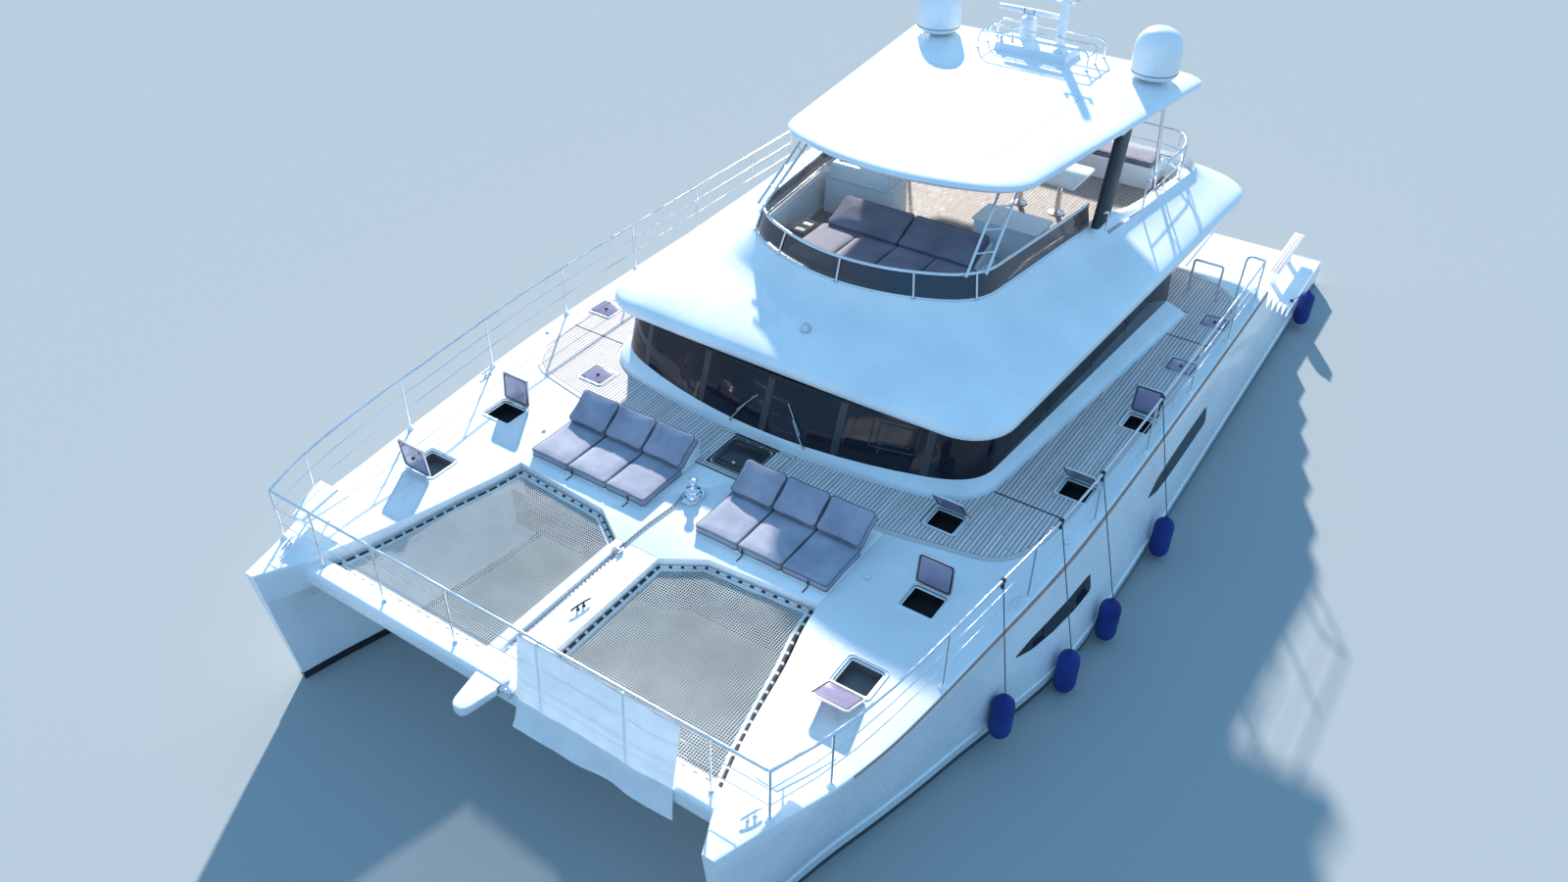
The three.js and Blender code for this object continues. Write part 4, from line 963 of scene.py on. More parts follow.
def hatch_seat(name, place, s, rim_finish=gelcoat, floor_z=1.72):
    x, y, width, length = place
    rim = rounded(frame_ring(x, y, width + 0.030, length + 0.030, RIM_LOW, RIM_HIGH, 0.065, 0.012), 0.003, 2)
    ledge = frame_ring(x, y, width - 0.045, length - 0.045, LEDGE_LOW, LEDGE_HIGH, 0.05, 0.030)
    ledge = rounded(ledge, 0.004, 2)
    hole = rounded_plate(x, y, width - 0.055, length - 0.055, floor_z - 0.01, floor_z, 0.045)
    dress(mirrored(coated(joined(rim, ledge), rim_finish), s), name + "_rim", "boat", "gelcoat")
    # The hole under a hatch is painted near black as painted shade, and a lighter grey as lighter painted
    # shade in the bow lockers.
    inside, slot = (bow_locker_painted_half_shade, "gelcoat") if y < BOW_LOCKER_END else (painted_shade_inside, "black_plastic")
    dress(mirrored(coated(hole, inside), s), name + "_hole", "boat", slot)
    hinge = knuckles(x, y + (-length / 2 if "_1_" in name + "_" else length / 2), 0.11, 0.03)
    dress(mirrored(coated(hinge, steel), s), name + "_hinge", "boat", "steel")


for side, s in SIDES:
    for n, place in HATCHES.items():
        label = "hatch_%s_%d" % (side, n)
        body = "lid_%s_%d" % (side, n)
        lid_pieces(label, body, (label,), place, -1 if n == 1 else 1, OPEN_LIDS[side][n - 1], s)
        hatch_seat(label, place, s)
print("hatches dressed")

# %% [markdown]
# The centre hatch in front of the deckhouse is larger and dark. Its lid is a single black moulding with a
# raised field, so it is a rounded plate whose top face is inset and lowered.

# %% Centre hatch
def centre_lid():
    x, y, width, length = CENTRE_HATCH
    lid = rounded_plate(x, y, width - 0.01, length - 0.01, ON_DECK, 1.928, 0.07)
    groove = frame_ring(x, y, width - 0.16, length - 0.16, 1.921, 1.95, 0.05, 0.018)
    lid = rounded(cut(lid, groove), 0.004, 2)
    return joined(lid, knuckles(x, y + length / 2, 0.1403, 0.03))


lid = dress(coated(centre_lid(), black), "centre_hatch_lid", "lid_centre", "hatch_acrylic", "hatch_centre")
latch = turned([(0, 0.014), (0.020, 0.014), (0.026, 0.008), (0.028, 0.0), (0, 0.0)], (0.0, -4.30, 1.927), 20)
dress(coated(latch, satin), "centre_hatch_latch", "lid_centre", "steel")
hatch_seat("centre_hatch", CENTRE_HATCH, 1, satin)
print("centre hatch dressed")

# %% [markdown]
# ## Teak
#
# Teak covers the side decks from the cockpit forward and runs in front of the deckhouse. A margin plank
# frames the laid boards, and black caulking parts it from them. The caulking is a black bed under both: the
# boards and the margin stand three millimetres above it with a narrow gap between them.

# %% Helpers: outlines
def inset_outline(points, by):
    """The same closed outline moved in by a distance, corner by corner. The points run anticlockwise."""
    count = len(points)
    moved = []
    for i in range(count):
        before = Vector(points[i][:2]) - Vector(points[i - 1][:2])
        after = Vector(points[(i + 1) % count][:2]) - Vector(points[i][:2])
        n1, n2 = Vector((-before.y, before.x)).normalized(), Vector((-after.y, after.x)).normalized()
        middle = (n1 + n2).normalized()
        moved.append(Vector(points[i][:2]) + middle * by / max(middle.dot(n1), 0.4))
    return [(p.x, p.y) for p in moved]


def slab(outline, low, high):
    return loft([[(p[0], p[1], low) for p in outline], [(p[0], p[1], high) for p in outline]])


def whole_outline(half):
    """Port half from the bow centre aft, completed to both sides, anticlockwise from above."""
    starboard = [(-x, y) for x, y in reversed(half) if x > 0]
    return [tuple(p) for p in half] + starboard


TEAK_HALF = [(0, -4.33), (2.35, -4.40), (3.9, -4.10), (4.2, -3.7), (4.33, -3.0), (4.43, -1.5), (4.52, 0.5),
             (4.60, 3.9), (4.3, 4.5), (3.7, 4.85), (2.6, 4.85)]
corners = [(x, y, 0) for x, y in whole_outline(TEAK_HALF)]
TEAK_OUTLINE = [(p.x, p.y) for p in eased(corners, 0.32, 4, closed=True)]
print("teak outline:", len(TEAK_OUTLINE), "points")

# %% [markdown]
# The deckhouse, the flybridge and the hardtop share one kind of plan: a bulged front edge, round front
# corners, sides that flare aft, and round aft corners. `house_outline` draws it from seven numbers. A soft
# moulding is then a loft through many such plans, and `fair` blends the seven numbers from one section to
# the next.

# %% Helpers: house plans
def cubic(a, b, c, d, t):
    return (1 - t) ** 3 * a + 3 * t * (1 - t) ** 2 * b + 3 * t * t * (1 - t) * c + t ** 3 * d


def house_half(front, bulge, half, radius, aft_half, aft, aft_radius, corner_steps=9):
    """Port half of the plan, from the bow centre aft."""
    straight = half - radius
    corner = front + bulge + radius
    points = [Vector((t * straight / 6, front + bulge * (t / 6) ** 2)) for t in range(6)]
    start, end = Vector((straight, front + bulge)), Vector((half, corner))
    out = Vector((straight, 2 * bulge)).normalized()
    back = Vector((aft_half - half, aft - corner)).normalized()
    for k in range(corner_steps + 1):
        points.append(cubic(start, start + out * radius * 0.56, end - back * radius * 0.56, end,
                            k / corner_steps))
    side_end = Vector((aft_half, aft - aft_radius)) - back * 0.02
    points += [end.lerp(side_end, t) for t in (0.12, 0.3, 0.5, 0.7, 0.88)]
    for k in range(7):
        angle = k / 6 * math.pi / 2
        points.append(Vector((aft_half - aft_radius * (1 - math.cos(angle)),
                              aft - aft_radius * (1 - math.sin(angle)))))
    return [(p.x, p.y) for p in points]


def house_outline(*numbers):
    return whole_outline(house_half(*numbers))


def fair_plans(sections, steps):
    """Heights and plans blended between the given ones: each section is (z, front, bulge, half, ...)."""
    rows = np.array(sections, float)
    travel = np.hypot(np.diff(rows[:, 0]), np.diff(rows[:, 1]))
    places = np.concatenate([[0], np.cumsum(np.maximum(travel, 0.02))])
    blended = []
    for i in range(len(rows) - 1):
        for k in range(steps):
            at = places[i] + (places[i + 1] - places[i]) * k / steps
            blended.append([float(fair(places, rows[:, column], at)) for column in range(rows.shape[1])])
    return blended + [list(rows[-1])]


def plan_ring(plan):
    z, *numbers = plan
    return [(x, y, z) for x, y in house_outline(*numbers)]


# %% Lay the teak
CAULKING_LOW, CAULKING_TOP, BOARD_TOP, MARGIN_TOP = 1.9004, 1.9092, 1.912, 1.9125
PANEL_CAULKING_TOP, PANEL_BOARD_TOP, PANEL_MARGIN_TOP = 1.9131, 1.9146, 1.9148
PANEL = (0.0, -4.125)
THROUGH = (1.8, 2.1)
house_print = house_outline(-3.685, 0.24, 3.295, 0.825, 3.92, 3.42, 0.01)


def teak_cutters(grow):
    tools = [slab(house_print, *THROUGH), cuboid((-2.6, -2.0, 1.8), (2.6, 5.2, 2.1))]
    for x, y, width, length in HATCHES.values():
        for s in (1, -1):
            tools.append(rounded_plate(s * x, y, width + grow, length + grow, *THROUGH, 0.07))
    x, y, width, length = CENTRE_HATCH
    return tools + [rounded_plate(x, y, width + grow, length + grow, *THROUGH, 0.07)]


bed = cut(slab(inset_outline(TEAK_OUTLINE, 0.004), CAULKING_LOW, CAULKING_TOP), *teak_cutters(0.036))
dress(coated(bed, rubber), "teak_caulking", "boat", "black_plastic")
cross_seams = [cuboid((-4.9, y - 0.016, 1.85), (4.9, y + 0.016, 2.0)) for y in (-2.79, 2.54)]
laid_boards = cut(slab(inset_outline(TEAK_OUTLINE, 0.082), ON_DECK, BOARD_TOP), *teak_cutters(0.050),
                  *cross_seams)
dress(coated(laid_boards, teak), "teak_boards", "boat", "teak", "teak_deck")
margin = cut(slab(TEAK_OUTLINE, ON_DECK, MARGIN_TOP), slab(inset_outline(TEAK_OUTLINE, 0.075), *THROUGH),
             *teak_cutters(0.050))
dress(coated(margin, teak_margin), "teak_margin_plank", "boat", "teak")
hatch_hole = rounded_plate(CENTRE_HATCH[0], CENTRE_HATCH[1], 0.676, 0.676, *THROUGH, 0.07)
panel_bed = cut(rounded_plate(*PANEL, 1.34, 0.89, CAULKING_LOW, PANEL_CAULKING_TOP, 0.06), twin(hatch_hole))
dress(coated(panel_bed, rubber), "hatch_panel_caulking", "boat", "black_plastic")
panel_boards = cut(rounded_plate(*PANEL, 1.20, 0.75, ON_DECK, PANEL_BOARD_TOP, 0.02),
                   rounded_plate(0.0, -4.11, 0.84, 0.84, *THROUGH, 0.07))
dress(coated(panel_boards, teak), "hatch_panel_boards", "boat", "teak")
panel_margins = joined(frame_ring(*PANEL, 1.32, 0.87, ON_DECK, PANEL_MARGIN_TOP, 0.06, 0.050),
                       frame_ring(0.0, -4.11, 0.82, 0.82, ON_DECK, PANEL_MARGIN_TOP, 0.07, 0.046))
dress(coated(panel_margins, teak_margin), "hatch_panel_margins", "boat", "teak")
bpy.data.objects.remove(hatch_hole)
print("teak laid:", len(laid_boards.data.polygons), "faces")

# %% [markdown]
# ## Deckhouse
#
# A smooth coaming rises from the deck and carries a band of dark glass, which leans inwards under the
# flybridge moulding. The glass is one curved skin cut by narrow joints, with black rubber behind them, so
# that each pane keeps its own clean edge. The front panes carry two wipers.

# %% Coaming and glass
GLASS_FOOT_Z, GLASS_HEAD_Z = 2.07, 2.83
coaming_plans = fair_plans([
    (1.9003, -3.66, 0.24, 3.27, 0.80, 3.88, 3.30, 0.01),
    (1.96, -3.655, 0.25, 3.255, 0.79, 3.84, 3.30, 0.01),
    (2.045, -3.64, 0.36, 3.17, 0.73, 3.60, 3.30, 0.01),
    (2.085, -3.618, 0.40, 3.118, 0.70, 3.515, 3.30, 0.01),
    (2.090, -3.57, 0.40, 3.07, 0.65, 3.47, 3.30, 0.01),
], 3)
coaming = loft([plan_ring(plan) for plan in coaming_plans])
coaming = cut(coaming, slab(house_outline(-3.50, 0.40, 2.95, 0.6, 3.30, 3.6, 0.01), 1.5, 2.5))
dress(smooth(coated(coaming, gelcoat), 40), "deckhouse_coaming", "boat", "gelcoat")


def glass_plan(t, grow):
    """The glass band's plan at a share t of its height."""
    low = (-3.62, 0.40, 3.12, 0.70, 3.52, 3.30, 0.01)
    high = (-3.33, 0.33, 3.05, 0.65, 3.48, 3.30, 0.01)
    front, bulge, half, radius, aft_half, aft, aft_radius = (a + (b - a) * t for a, b in zip(low, high))
    return (front - grow, bulge, half + grow, radius + grow, aft_half + grow, aft, aft_radius)


def glass_loft(grow, low=0.0, high=1.0, rows=5):
    rings = []
    for k in range(rows):
        t = low + (high - low) * k / (rows - 1)
        z = GLASS_FOOT_Z + (GLASS_HEAD_Z - GLASS_FOOT_Z) * t
        rings.append([(x, y, z) for x, y in house_outline(*glass_plan(t, grow))])
    return loft(rings)


band = cut(glass_loft(0.014, 0.01, 0.999), glass_loft(0.004, -0.05, 1.05))
joints_at = [-2.40, -1.15, 0.0, 1.15, 2.40]
joints = [cuboid((x - 0.006, -4.3, 2.0), (x + 0.006, -2.2, 2.9)) for x in joints_at]
joints += [cuboid((-4.0, y - 0.006, 2.0), (4.0, y + 0.006, 2.9)) for y in (-1.0, 0.4, 1.6)]
band = cut(band, *joints, cuboid((-3.0, 3.2, 2.0), (3.0, 3.5, 2.9)))
dress(smooth(coated(band, dark_glass), 40), "deckhouse_panes", "boat", "dark_glass", "deckhouse_glass")
PANE_GAPS = [cuboid((a + 0.055, -4.5, 2.0), (b - 0.055, -2.0, 3.0))
             for a, b in zip([-4.0] + joints_at, joints_at + [4.0])]
pane_posts = cut(glass_loft(0.0155, 0.03, 0.985), glass_loft(0.0135, -0.05, 1.05),
                 cuboid((-4.0, -2.1, 2.0), (4.0, 4.0, 3.0)), *PANE_GAPS)
dress(smooth(coated(pane_posts, pane_edge), 40), "deckhouse_pane_posts", "boat", "black_paint")
backing = cut(glass_loft(0.003, 0.005, 0.995), glass_loft(-0.07, -0.05, 1.05),
              cuboid((-2.9, 3.2, 2.0), (2.9, 3.5, 2.9)))
dress(smooth(coated(backing, rubber), 40), "deckhouse_frame_black", "boat", "black_paint", "deckhouse_frame")
print("deckhouse dressed")

# %% [markdown]
# ## Flybridge moulding
#
# The flybridge is one big moulding: a brow that overhangs the glass, a crowned shoulder, a low coaming,
# and a well inside it. All of it is one loft. The sections run from the underside of the
# brow outwards and up, over the coaming, and down its inner face to the sole, which is the last, filled
# section. Aft of the pillars the coaming is low, so its height is a function of how far aft a point lies.

# %% Flybridge shell
COAMING_TOP, COAMING_LOW = 3.60, 3.25


def eased_step(v, start, stop):
    t = min(max((v - start) / (stop - start), 0), 1)
    return t * t * (3 - 2 * t)


def coaming_top(y):
    return COAMING_TOP + (COAMING_LOW - COAMING_TOP) * eased_step(y, 3.35, 3.95)


def squeezed(ring, base, full):
    """Lower the part of a ring above `base` where the coaming is low."""
    return [(x, y, z if z <= base else base + (z - base) * (coaming_top(y) - base) / (full - base))
            for x, y, z in ring]


brow = fair_plans([
    (2.83, -3.20, 0.04, 3.29, 0.68, 3.72, 6.66, 0.80),
    (2.835, -3.235, 0.04, 3.325, 0.70, 3.755, 6.695, 0.80),
    (2.90, -3.258, 0.04, 3.35, 0.70, 3.78, 6.745, 0.80),
    (2.97, -3.245, 0.05, 3.345, 0.70, 3.775, 6.745, 0.80),
    (3.045, -3.12, 0.06, 3.24, 0.72, 3.71, 6.69, 0.80),
    (3.12, -2.82, 0.12, 3.01, 0.78, 3.52, 6.60, 0.76),
    (3.20, -2.42, 0.20, 2.69, 0.85, 3.24, 6.47, 0.68),
    (3.30, -2.02, 0.25, 2.36, 0.90, 2.98, 6.32, 0.60),
    (3.42, -1.86, 0.22, 2.21, 0.90, 2.87, 6.24, 0.52),
], 3)
rise = fair_plans([
    (3.42, -1.86, 0.22, 2.21, 0.90, 2.87, 6.24, 0.52),
    (3.57, -1.735, 0.22, 2.095, 0.90, 2.805, 6.205, 0.50),
    (3.595, -1.715, 0.22, 2.075, 0.89, 2.785, 6.19, 0.49),
    (3.60, -1.69, 0.22, 2.05, 0.88, 2.76, 6.165, 0.48),
    (3.60, -1.62, 0.22, 1.985, 0.85, 2.70, 6.10, 0.46),
    (3.585, -1.585, 0.22, 1.95, 0.83, 2.67, 6.07, 0.45),
    (3.55, -1.57, 0.22, 1.935, 0.82, 2.655, 6.055, 0.45),
    (3.02, -1.56, 0.22, 1.93, 0.82, 2.65, 6.05, 0.45),
    (2.985, -1.545, 0.22, 1.915, 0.80, 2.635, 6.035, 0.44),
    (2.98, -1.50, 0.22, 1.87, 0.78, 2.59, 5.99, 0.42),
], 2)
fly_rings = [plan_ring(plan) for plan in brow[:-1]] + [squeezed(plan_ring(plan), 3.2, 3.6) for plan in rise]
fly_shell = coated(loft(fly_rings), gelcoat)
# The sole faces take the darker teak, which is partly painted shade.
in_nonskid(fly_shell, lambda c: 2.97 < c.z < 2.99, teak_sole_brown_and_painted_shade)
dress(smooth(fly_shell, 45), "flybridge_shell", "boat", "gelcoat", "flybridge")
print("flybridge shell:", len(fly_shell.data.polygons), "faces")

# %% [markdown]
# Inside the well stand the sunbed plinth, the helm console to starboard, a bar to port and the settee base
# aft. Each is a cuboid whose top is inset or drawn in and whose edges are rounded generously, as mouldings
# are.

# %% Flybridge furniture
def drawn_in(obj, low, by_x, by_y):
    """Pull everything above `low` towards the middle of the piece, for sides that lean in."""
    only(obj)
    mesh = obj.data
    xs, ys = [v.co.x for v in mesh.vertices], [v.co.y for v in mesh.vertices]
    cx, cy = (min(xs) + max(xs)) / 2, (min(ys) + max(ys)) / 2
    bpy.ops.object.mode_set(mode="EDIT")
    bpy.ops.mesh.select_mode(type="VERT")
    bpy.ops.mesh.select_all(action="DESELECT")
    bpy.ops.object.mode_set(mode="OBJECT")
    for v in mesh.vertices:
        v.select = v.co.z > low
    bpy.ops.object.mode_set(mode="EDIT")
    bpy.ops.transform.resize(value=(1 - by_x, 1 - by_y, 1), center_override=(cx, cy, low))
    bpy.ops.object.mode_set(mode="OBJECT")
    return obj


plinth = rounded(cuboid((-1.42, -1.12, 2.97), (1.42, 0.80, 3.30)), 0.035, 4)
settee = rounded(cuboid((-2.32, 5.28, 2.97), (2.32, 5.92, 3.38)), 0.035, 4)
console_foot = drawn_in(cuboid((-2.05, 1.22, 2.97), (-0.70, 1.76, 3.72)), 3.5, 0.04, 0.06)
console_pod = drawn_in(cuboid((-1.97, 1.20, 3.62), (-0.78, 1.72, 3.90)), 3.8, 0.05, 0.22)
bar_unit = drawn_in(cuboid((0.88, 0.90, 2.97), (1.96, 1.50, 3.80)), 3.5, 0.03, 0.05)
furniture = joined(plinth, settee, rounded(console_foot, 0.03, 4), rounded(console_pod, 0.04, 4),
                   rounded(bar_unit, 0.03, 4))
dress(coated(furniture, gelcoat), "flybridge_furniture", "boat", "gelcoat")
dash = rounded(cuboid((-1.86, 1.36, 3.885), (-0.88, 1.62, 3.915)), 0.008, 2)
bar_top = rounded(rounded_plate(1.42, 1.20, 1.12, 0.64, 3.80, 3.825, 0.05), 0.006, 2)
dress(coated(dash, black), "dashboard", "boat", "black_plastic")
dress(coated(bar_top, gelcoat), "bar_top", "boat", "gelcoat")
print("furniture dressed")

# %% [markdown]
# On each side of the sunbed's back cushions a tray for cups and phones is let into the plinth: a dark frame
# with two pale inserts. In front of the brow a small round light sits on its crown.

# %% Trays and brow light
for side, s in SIDES:
    frame_piece = rounded(rounded_plate(1.62, -0.05, 0.30, 0.46, 3.30, 3.355, 0.03), 0.006, 2)
    wells = [rounded_plate(1.62, y, 0.20, 0.15, 3.335, 3.40, 0.03) for y in (-0.16, 0.06)]
    tray = mirrored(coated(cut(frame_piece, *wells), strake), s)
    dress(tray, "cup_tray_" + side, "boat", "black_plastic")
    inserts = joined(*[rounded(rounded_plate(1.62, y, 0.196, 0.146, 3.326, 3.338, 0.03), 0.003, 1)
                       for y in (-0.16, 0.06)])
    dress(mirrored(coated(inserts, gelcoat), s), "cup_tray_insert_" + side, "boat", "gelcoat")
light_profile = [(0, 0.075), (0.03, 0.073), (0.05, 0.06), (0.058, 0.03), (0.075, 0.02), (0.08, 0.0),
                 (0, -0.02)]
brow_light = turned(light_profile, (0.0, -2.50, 3.205), 28)
dress(coated(brow_light, satin), "brow_light", "boat", "steel")
print("trays and light dressed")

# %% [markdown]
# ## Screen and rails of the flybridge
#
# The smoked screen is a thin skin that follows the coaming and leans in a little. A steel rail caps it, on
# short stanchions inside. Two bars each side carry the hardtop's front, tied by three rungs.

# %% Screen
SCREEN_LOW = (-1.70, 0.22, 2.06, 0.90, 2.78, 6.20, 0.50)
SCREEN_HIGH = (-1.62, 0.22, 1.99, 0.90, 2.72, 6.20, 0.50)


def screen_plan(t, shrink):
    front, bulge, half, radius, aft_half, aft, aft_radius = (a + (b - a) * t
                                                             for a, b in zip(SCREEN_LOW, SCREEN_HIGH))
    return (front + shrink, bulge, half - shrink, radius - shrink, aft_half - shrink, aft, aft_radius)


def screen_loft(shrink, low, high):
    rings = []
    for t in (low, 0.5, high):
        z = 3.601 + (3.94 - 3.601) * t
        rings.append([(x, y, z) for x, y in house_outline(*screen_plan(t, shrink))])
    return loft(rings)


screen = cut(screen_loft(0.010, 0.0, 1.0), screen_loft(0.022, -0.1, 1.1),
             cuboid((-3.2, 2.1, 3.3), (3.2, 7.0, 4.2)))
dress(smooth(coated(screen, screen_tint), 40), "flybridge_screen", "boat", "tinted_screen", "fly_screen")


def plan_route(numbers, z, to_y):
    """A route round the front of a plan at one height, from starboard to port, ending at y."""
    half = [(x, y) for x, y in house_half(*numbers) if y < to_y]
    (xa, ya), (xb, yb) = [(x, y) for x, y in house_half(*numbers) if y < to_y][-1], \
        [(x, y) for x, y in house_half(*numbers) if y >= to_y][0]
    t = (to_y - ya) / (yb - ya)
    half.append((xa + (xb - xa) * t, to_y))
    return [(-x, y, z) for x, y in reversed(half[1:])] + [(x, y, z) for x, y in half]


RAIL_TOP = 3.96
cap = pipe(plan_route(screen_plan(1, 0.014), RAIL_TOP, 2.1), 0.024, ring=3)
channel = pipe(plan_route(screen_plan(0, 0.016), 3.608, 2.1), 0.016, ring=2)
stanchions = []
foot_plan, head_plan = house_half(*screen_plan(0, -0.012)), house_half(*screen_plan(1, -0.002))
for x in (0.0, 1.21, 1.95):
    k = min(range(len(foot_plan)), key=lambda k: abs(foot_plan[k][0] - x))
    for s in ((1, -1) if x else (1,)):
        low, high = (s * foot_plan[k][0], foot_plan[k][1]), (s * head_plan[k][0], head_plan[k][1])
        stanchions.append(pipe([(*low, 3.59), (*high, 3.95)], 0.017, ring=2))
        stanchions.append(turned([(0, 0.02), (0.03, 0.016), (0.036, 0.0), (0, 0.0)], (*low, 3.598), 16))
print("screen dressed")

# %% Struts, ladder rungs and rail
STRUTS = ((1.76, -1.12, 1.60, 0.18), (1.96, -0.88, 1.80, 0.38))
bars = []
for s in (1, -1):
    for x0, y0, x1, y1 in STRUTS:
        bars.append(pipe([(s * x0, y0, RAIL_TOP), (s * x1, y1, 4.87)], 0.022, ring=3))
    for t in (0.25, 0.5, 0.75):
        ends = [(s * (x0 + t * (x1 - x0)), y0 + t * (y1 - y0), RAIL_TOP + t * 0.89)
                for x0, y0, x1, y1 in STRUTS]
        bars.append(pipe(ends, 0.014, ring=2))
    bars.append(pipe([(s * 2.62, 2.12, 3.60), (s * 2.62, 2.12, 3.93), (s * 2.60, 1.95, RAIL_TOP)], 0.018,
                     0.08))
rail = joined(cap, channel, *stanchions, *bars)
dress(coated(rail, steel), "flybridge_rail_and_struts", "boat", "steel", "fly_rail")

AFT_ROUTE = [(2.70, 3.65), (2.74, 5.50), (2.50, 6.05), (0.0, 6.08), (-2.50, 6.05), (-2.74, 5.50),
             (-2.70, 3.65)]
pieces = [pipe([(x, y, 3.88) for x, y in AFT_ROUTE], 0.022, 0.25, ring=3),
          pipe([(x, y, 3.57) for x, y in AFT_ROUTE], 0.011, 0.25)]
for s in (1, -1):
    for x, y in ((2.70, 3.65), (2.72, 4.60), (2.74, 5.50), (2.47, 6.045), (1.25, 6.065)):
        pieces.append(pipe([(s * x, y, 3.24), (s * x, y, 3.87)], 0.017))
        pieces.append(turned([(0, 0.02), (0.035, 0.015), (0.042, 0.0), (0, 0.0)], (s * x, y, 3.25), 16))
    pieces.append(pipe([(s * 2.48, 4.98, 2.98), (s * 2.43, 4.64, 4.87)], 0.030, ring=3))
    pieces.append(pipe([(s * 2.46, 4.855, 3.875), (s * 2.726, 4.855, 3.875)], 0.014))
    pieces.append(turned([(0, 0.03), (0.05, 0.024), (0.06, 0.0), (0, 0.0)], (s * 2.48, 4.98, 2.98), 20))
dress(coated(joined(*pieces), steel), "aft_flybridge_rail", "boat", "steel", "fly_aft_rail")
print("rails dressed")

# %% [markdown]
# ## Hardtop
#
# The hardtop is a thick, crowned plate with a soft edge. A groove marks the panel let into its top. It
# stands on two raked pillars; the outer face of each carries a black cladding.

# %% Hardtop and pillars
top_plans = fair_plans([
    (4.855, -0.44, 0.25, 1.93, 0.65, 2.55, 5.71, 0.32),
    (4.850, -0.50, 0.25, 1.98, 0.68, 2.60, 5.76, 0.34),
    (4.875, -0.60, 0.25, 2.06, 0.70, 2.69, 5.845, 0.35),
    (4.93, -0.65, 0.25, 2.10, 0.70, 2.74, 5.88, 0.35),
    (4.975, -0.60, 0.25, 2.06, 0.69, 2.70, 5.85, 0.35),
    (5.005, -0.45, 0.24, 1.95, 0.66, 2.58, 5.79, 0.34),
    (5.030, -0.12, 0.21, 1.68, 0.56, 2.29, 5.67, 0.32),
    (5.052, 0.20, 0.17, 1.42, 0.44, 1.98, 5.54, 0.30),
    (5.060, 0.45, 0.14, 1.22, 0.36, 1.75, 5.40, 0.28),
], 3)
hardtop_plate = loft([plan_ring(plan) for plan in top_plans])
groove = cut(slab(house_outline(0.30, 0.12, 1.28, 0.10, 1.42, 3.50, 0.10), 5.0455, 5.2),
             slab(house_outline(0.318, 0.12, 1.262, 0.09, 1.402, 3.482, 0.09), 5.0, 5.3))
dress(smooth(coated(cut(hardtop_plate, groove), gelcoat), 45), "hardtop_plate", "boat", "gelcoat", "hardtop")
lip = pipe([(x, y, 4.853) for x, y in house_outline(-0.36, 0.25, 1.86, 0.62, 2.48, 5.64, 0.30)], 0.012,
           closed=True)
dress(coated(lip, gelcoat), "hardtop_drip_edge", "boat", "gelcoat")


def pillar_ring(t, grow=0.0):
    x0, x1 = 2.44 - 0.20 * t - grow, 2.56 - 0.20 * t + grow
    y0, y1 = 1.90 + 1.05 * t - grow, 2.40 + 1.00 * t + grow
    z = 3.6 + 1.265 * t
    corner = 0.03
    return [(x0 + corner, y0, z), (x1 - corner, y0, z), (x1, y0 + corner, z), (x1, y1 - corner, z),
            (x1 - corner, y1, z), (x0 + corner, y1, z), (x0, y1 - corner, z), (x0, y0 + corner, z)]


pillar = smooth(loft([pillar_ring(t) for t in (0.0, 0.25, 0.5, 0.75, 1.0)]), 50)
cladding = loft([pillar_ring(t, 0.006) for t in (0.05, 0.35, 0.65, 0.97)])
for side, s in SIDES:
    dress(mirrored(coated(twin(pillar), gelcoat), s), "hardtop_pillar_" + side, "boat", "gelcoat")
    dress(mirrored(coated(smooth(twin(cladding), 50), black), s), "pillar_cladding_" + side, "boat",
          "black_paint")
bpy.data.objects.remove(pillar)
bpy.data.objects.remove(cladding)
print("hardtop dressed")

# %% [markdown]
# ## Below the waterline
#
# Each hull has a long shallow keel, a bronze propeller on a shaft with its bracket, and a spade rudder. A
# keel and a rudder are foils: their level sections are thick ahead of the middle and taper to a thin tail.
# `foil_ring` gives one such section, and a loft carries it from height to height.

# %% Foils: keels and rudders
HULL_X, SHAFT_Z = 3.87, -0.68
PROP_Y, RUDDER_Y = 8.2, 8.9


def foil_ring(x, z, front, back, half_thick, nose=0.5, steps=9):
    ring = []
    for k in range(2 * steps):
        u = k / steps if k < steps else 2 - k / steps
        u = (1 - math.cos(math.pi * u)) / 2
        thick = half_thick * (math.sin(math.pi * u ** nose)) ** 0.7
        thick = max(thick, 0.003)
        ring.append((x + (thick if k < steps else -thick), front + (back - front) * u, z))
    return ring


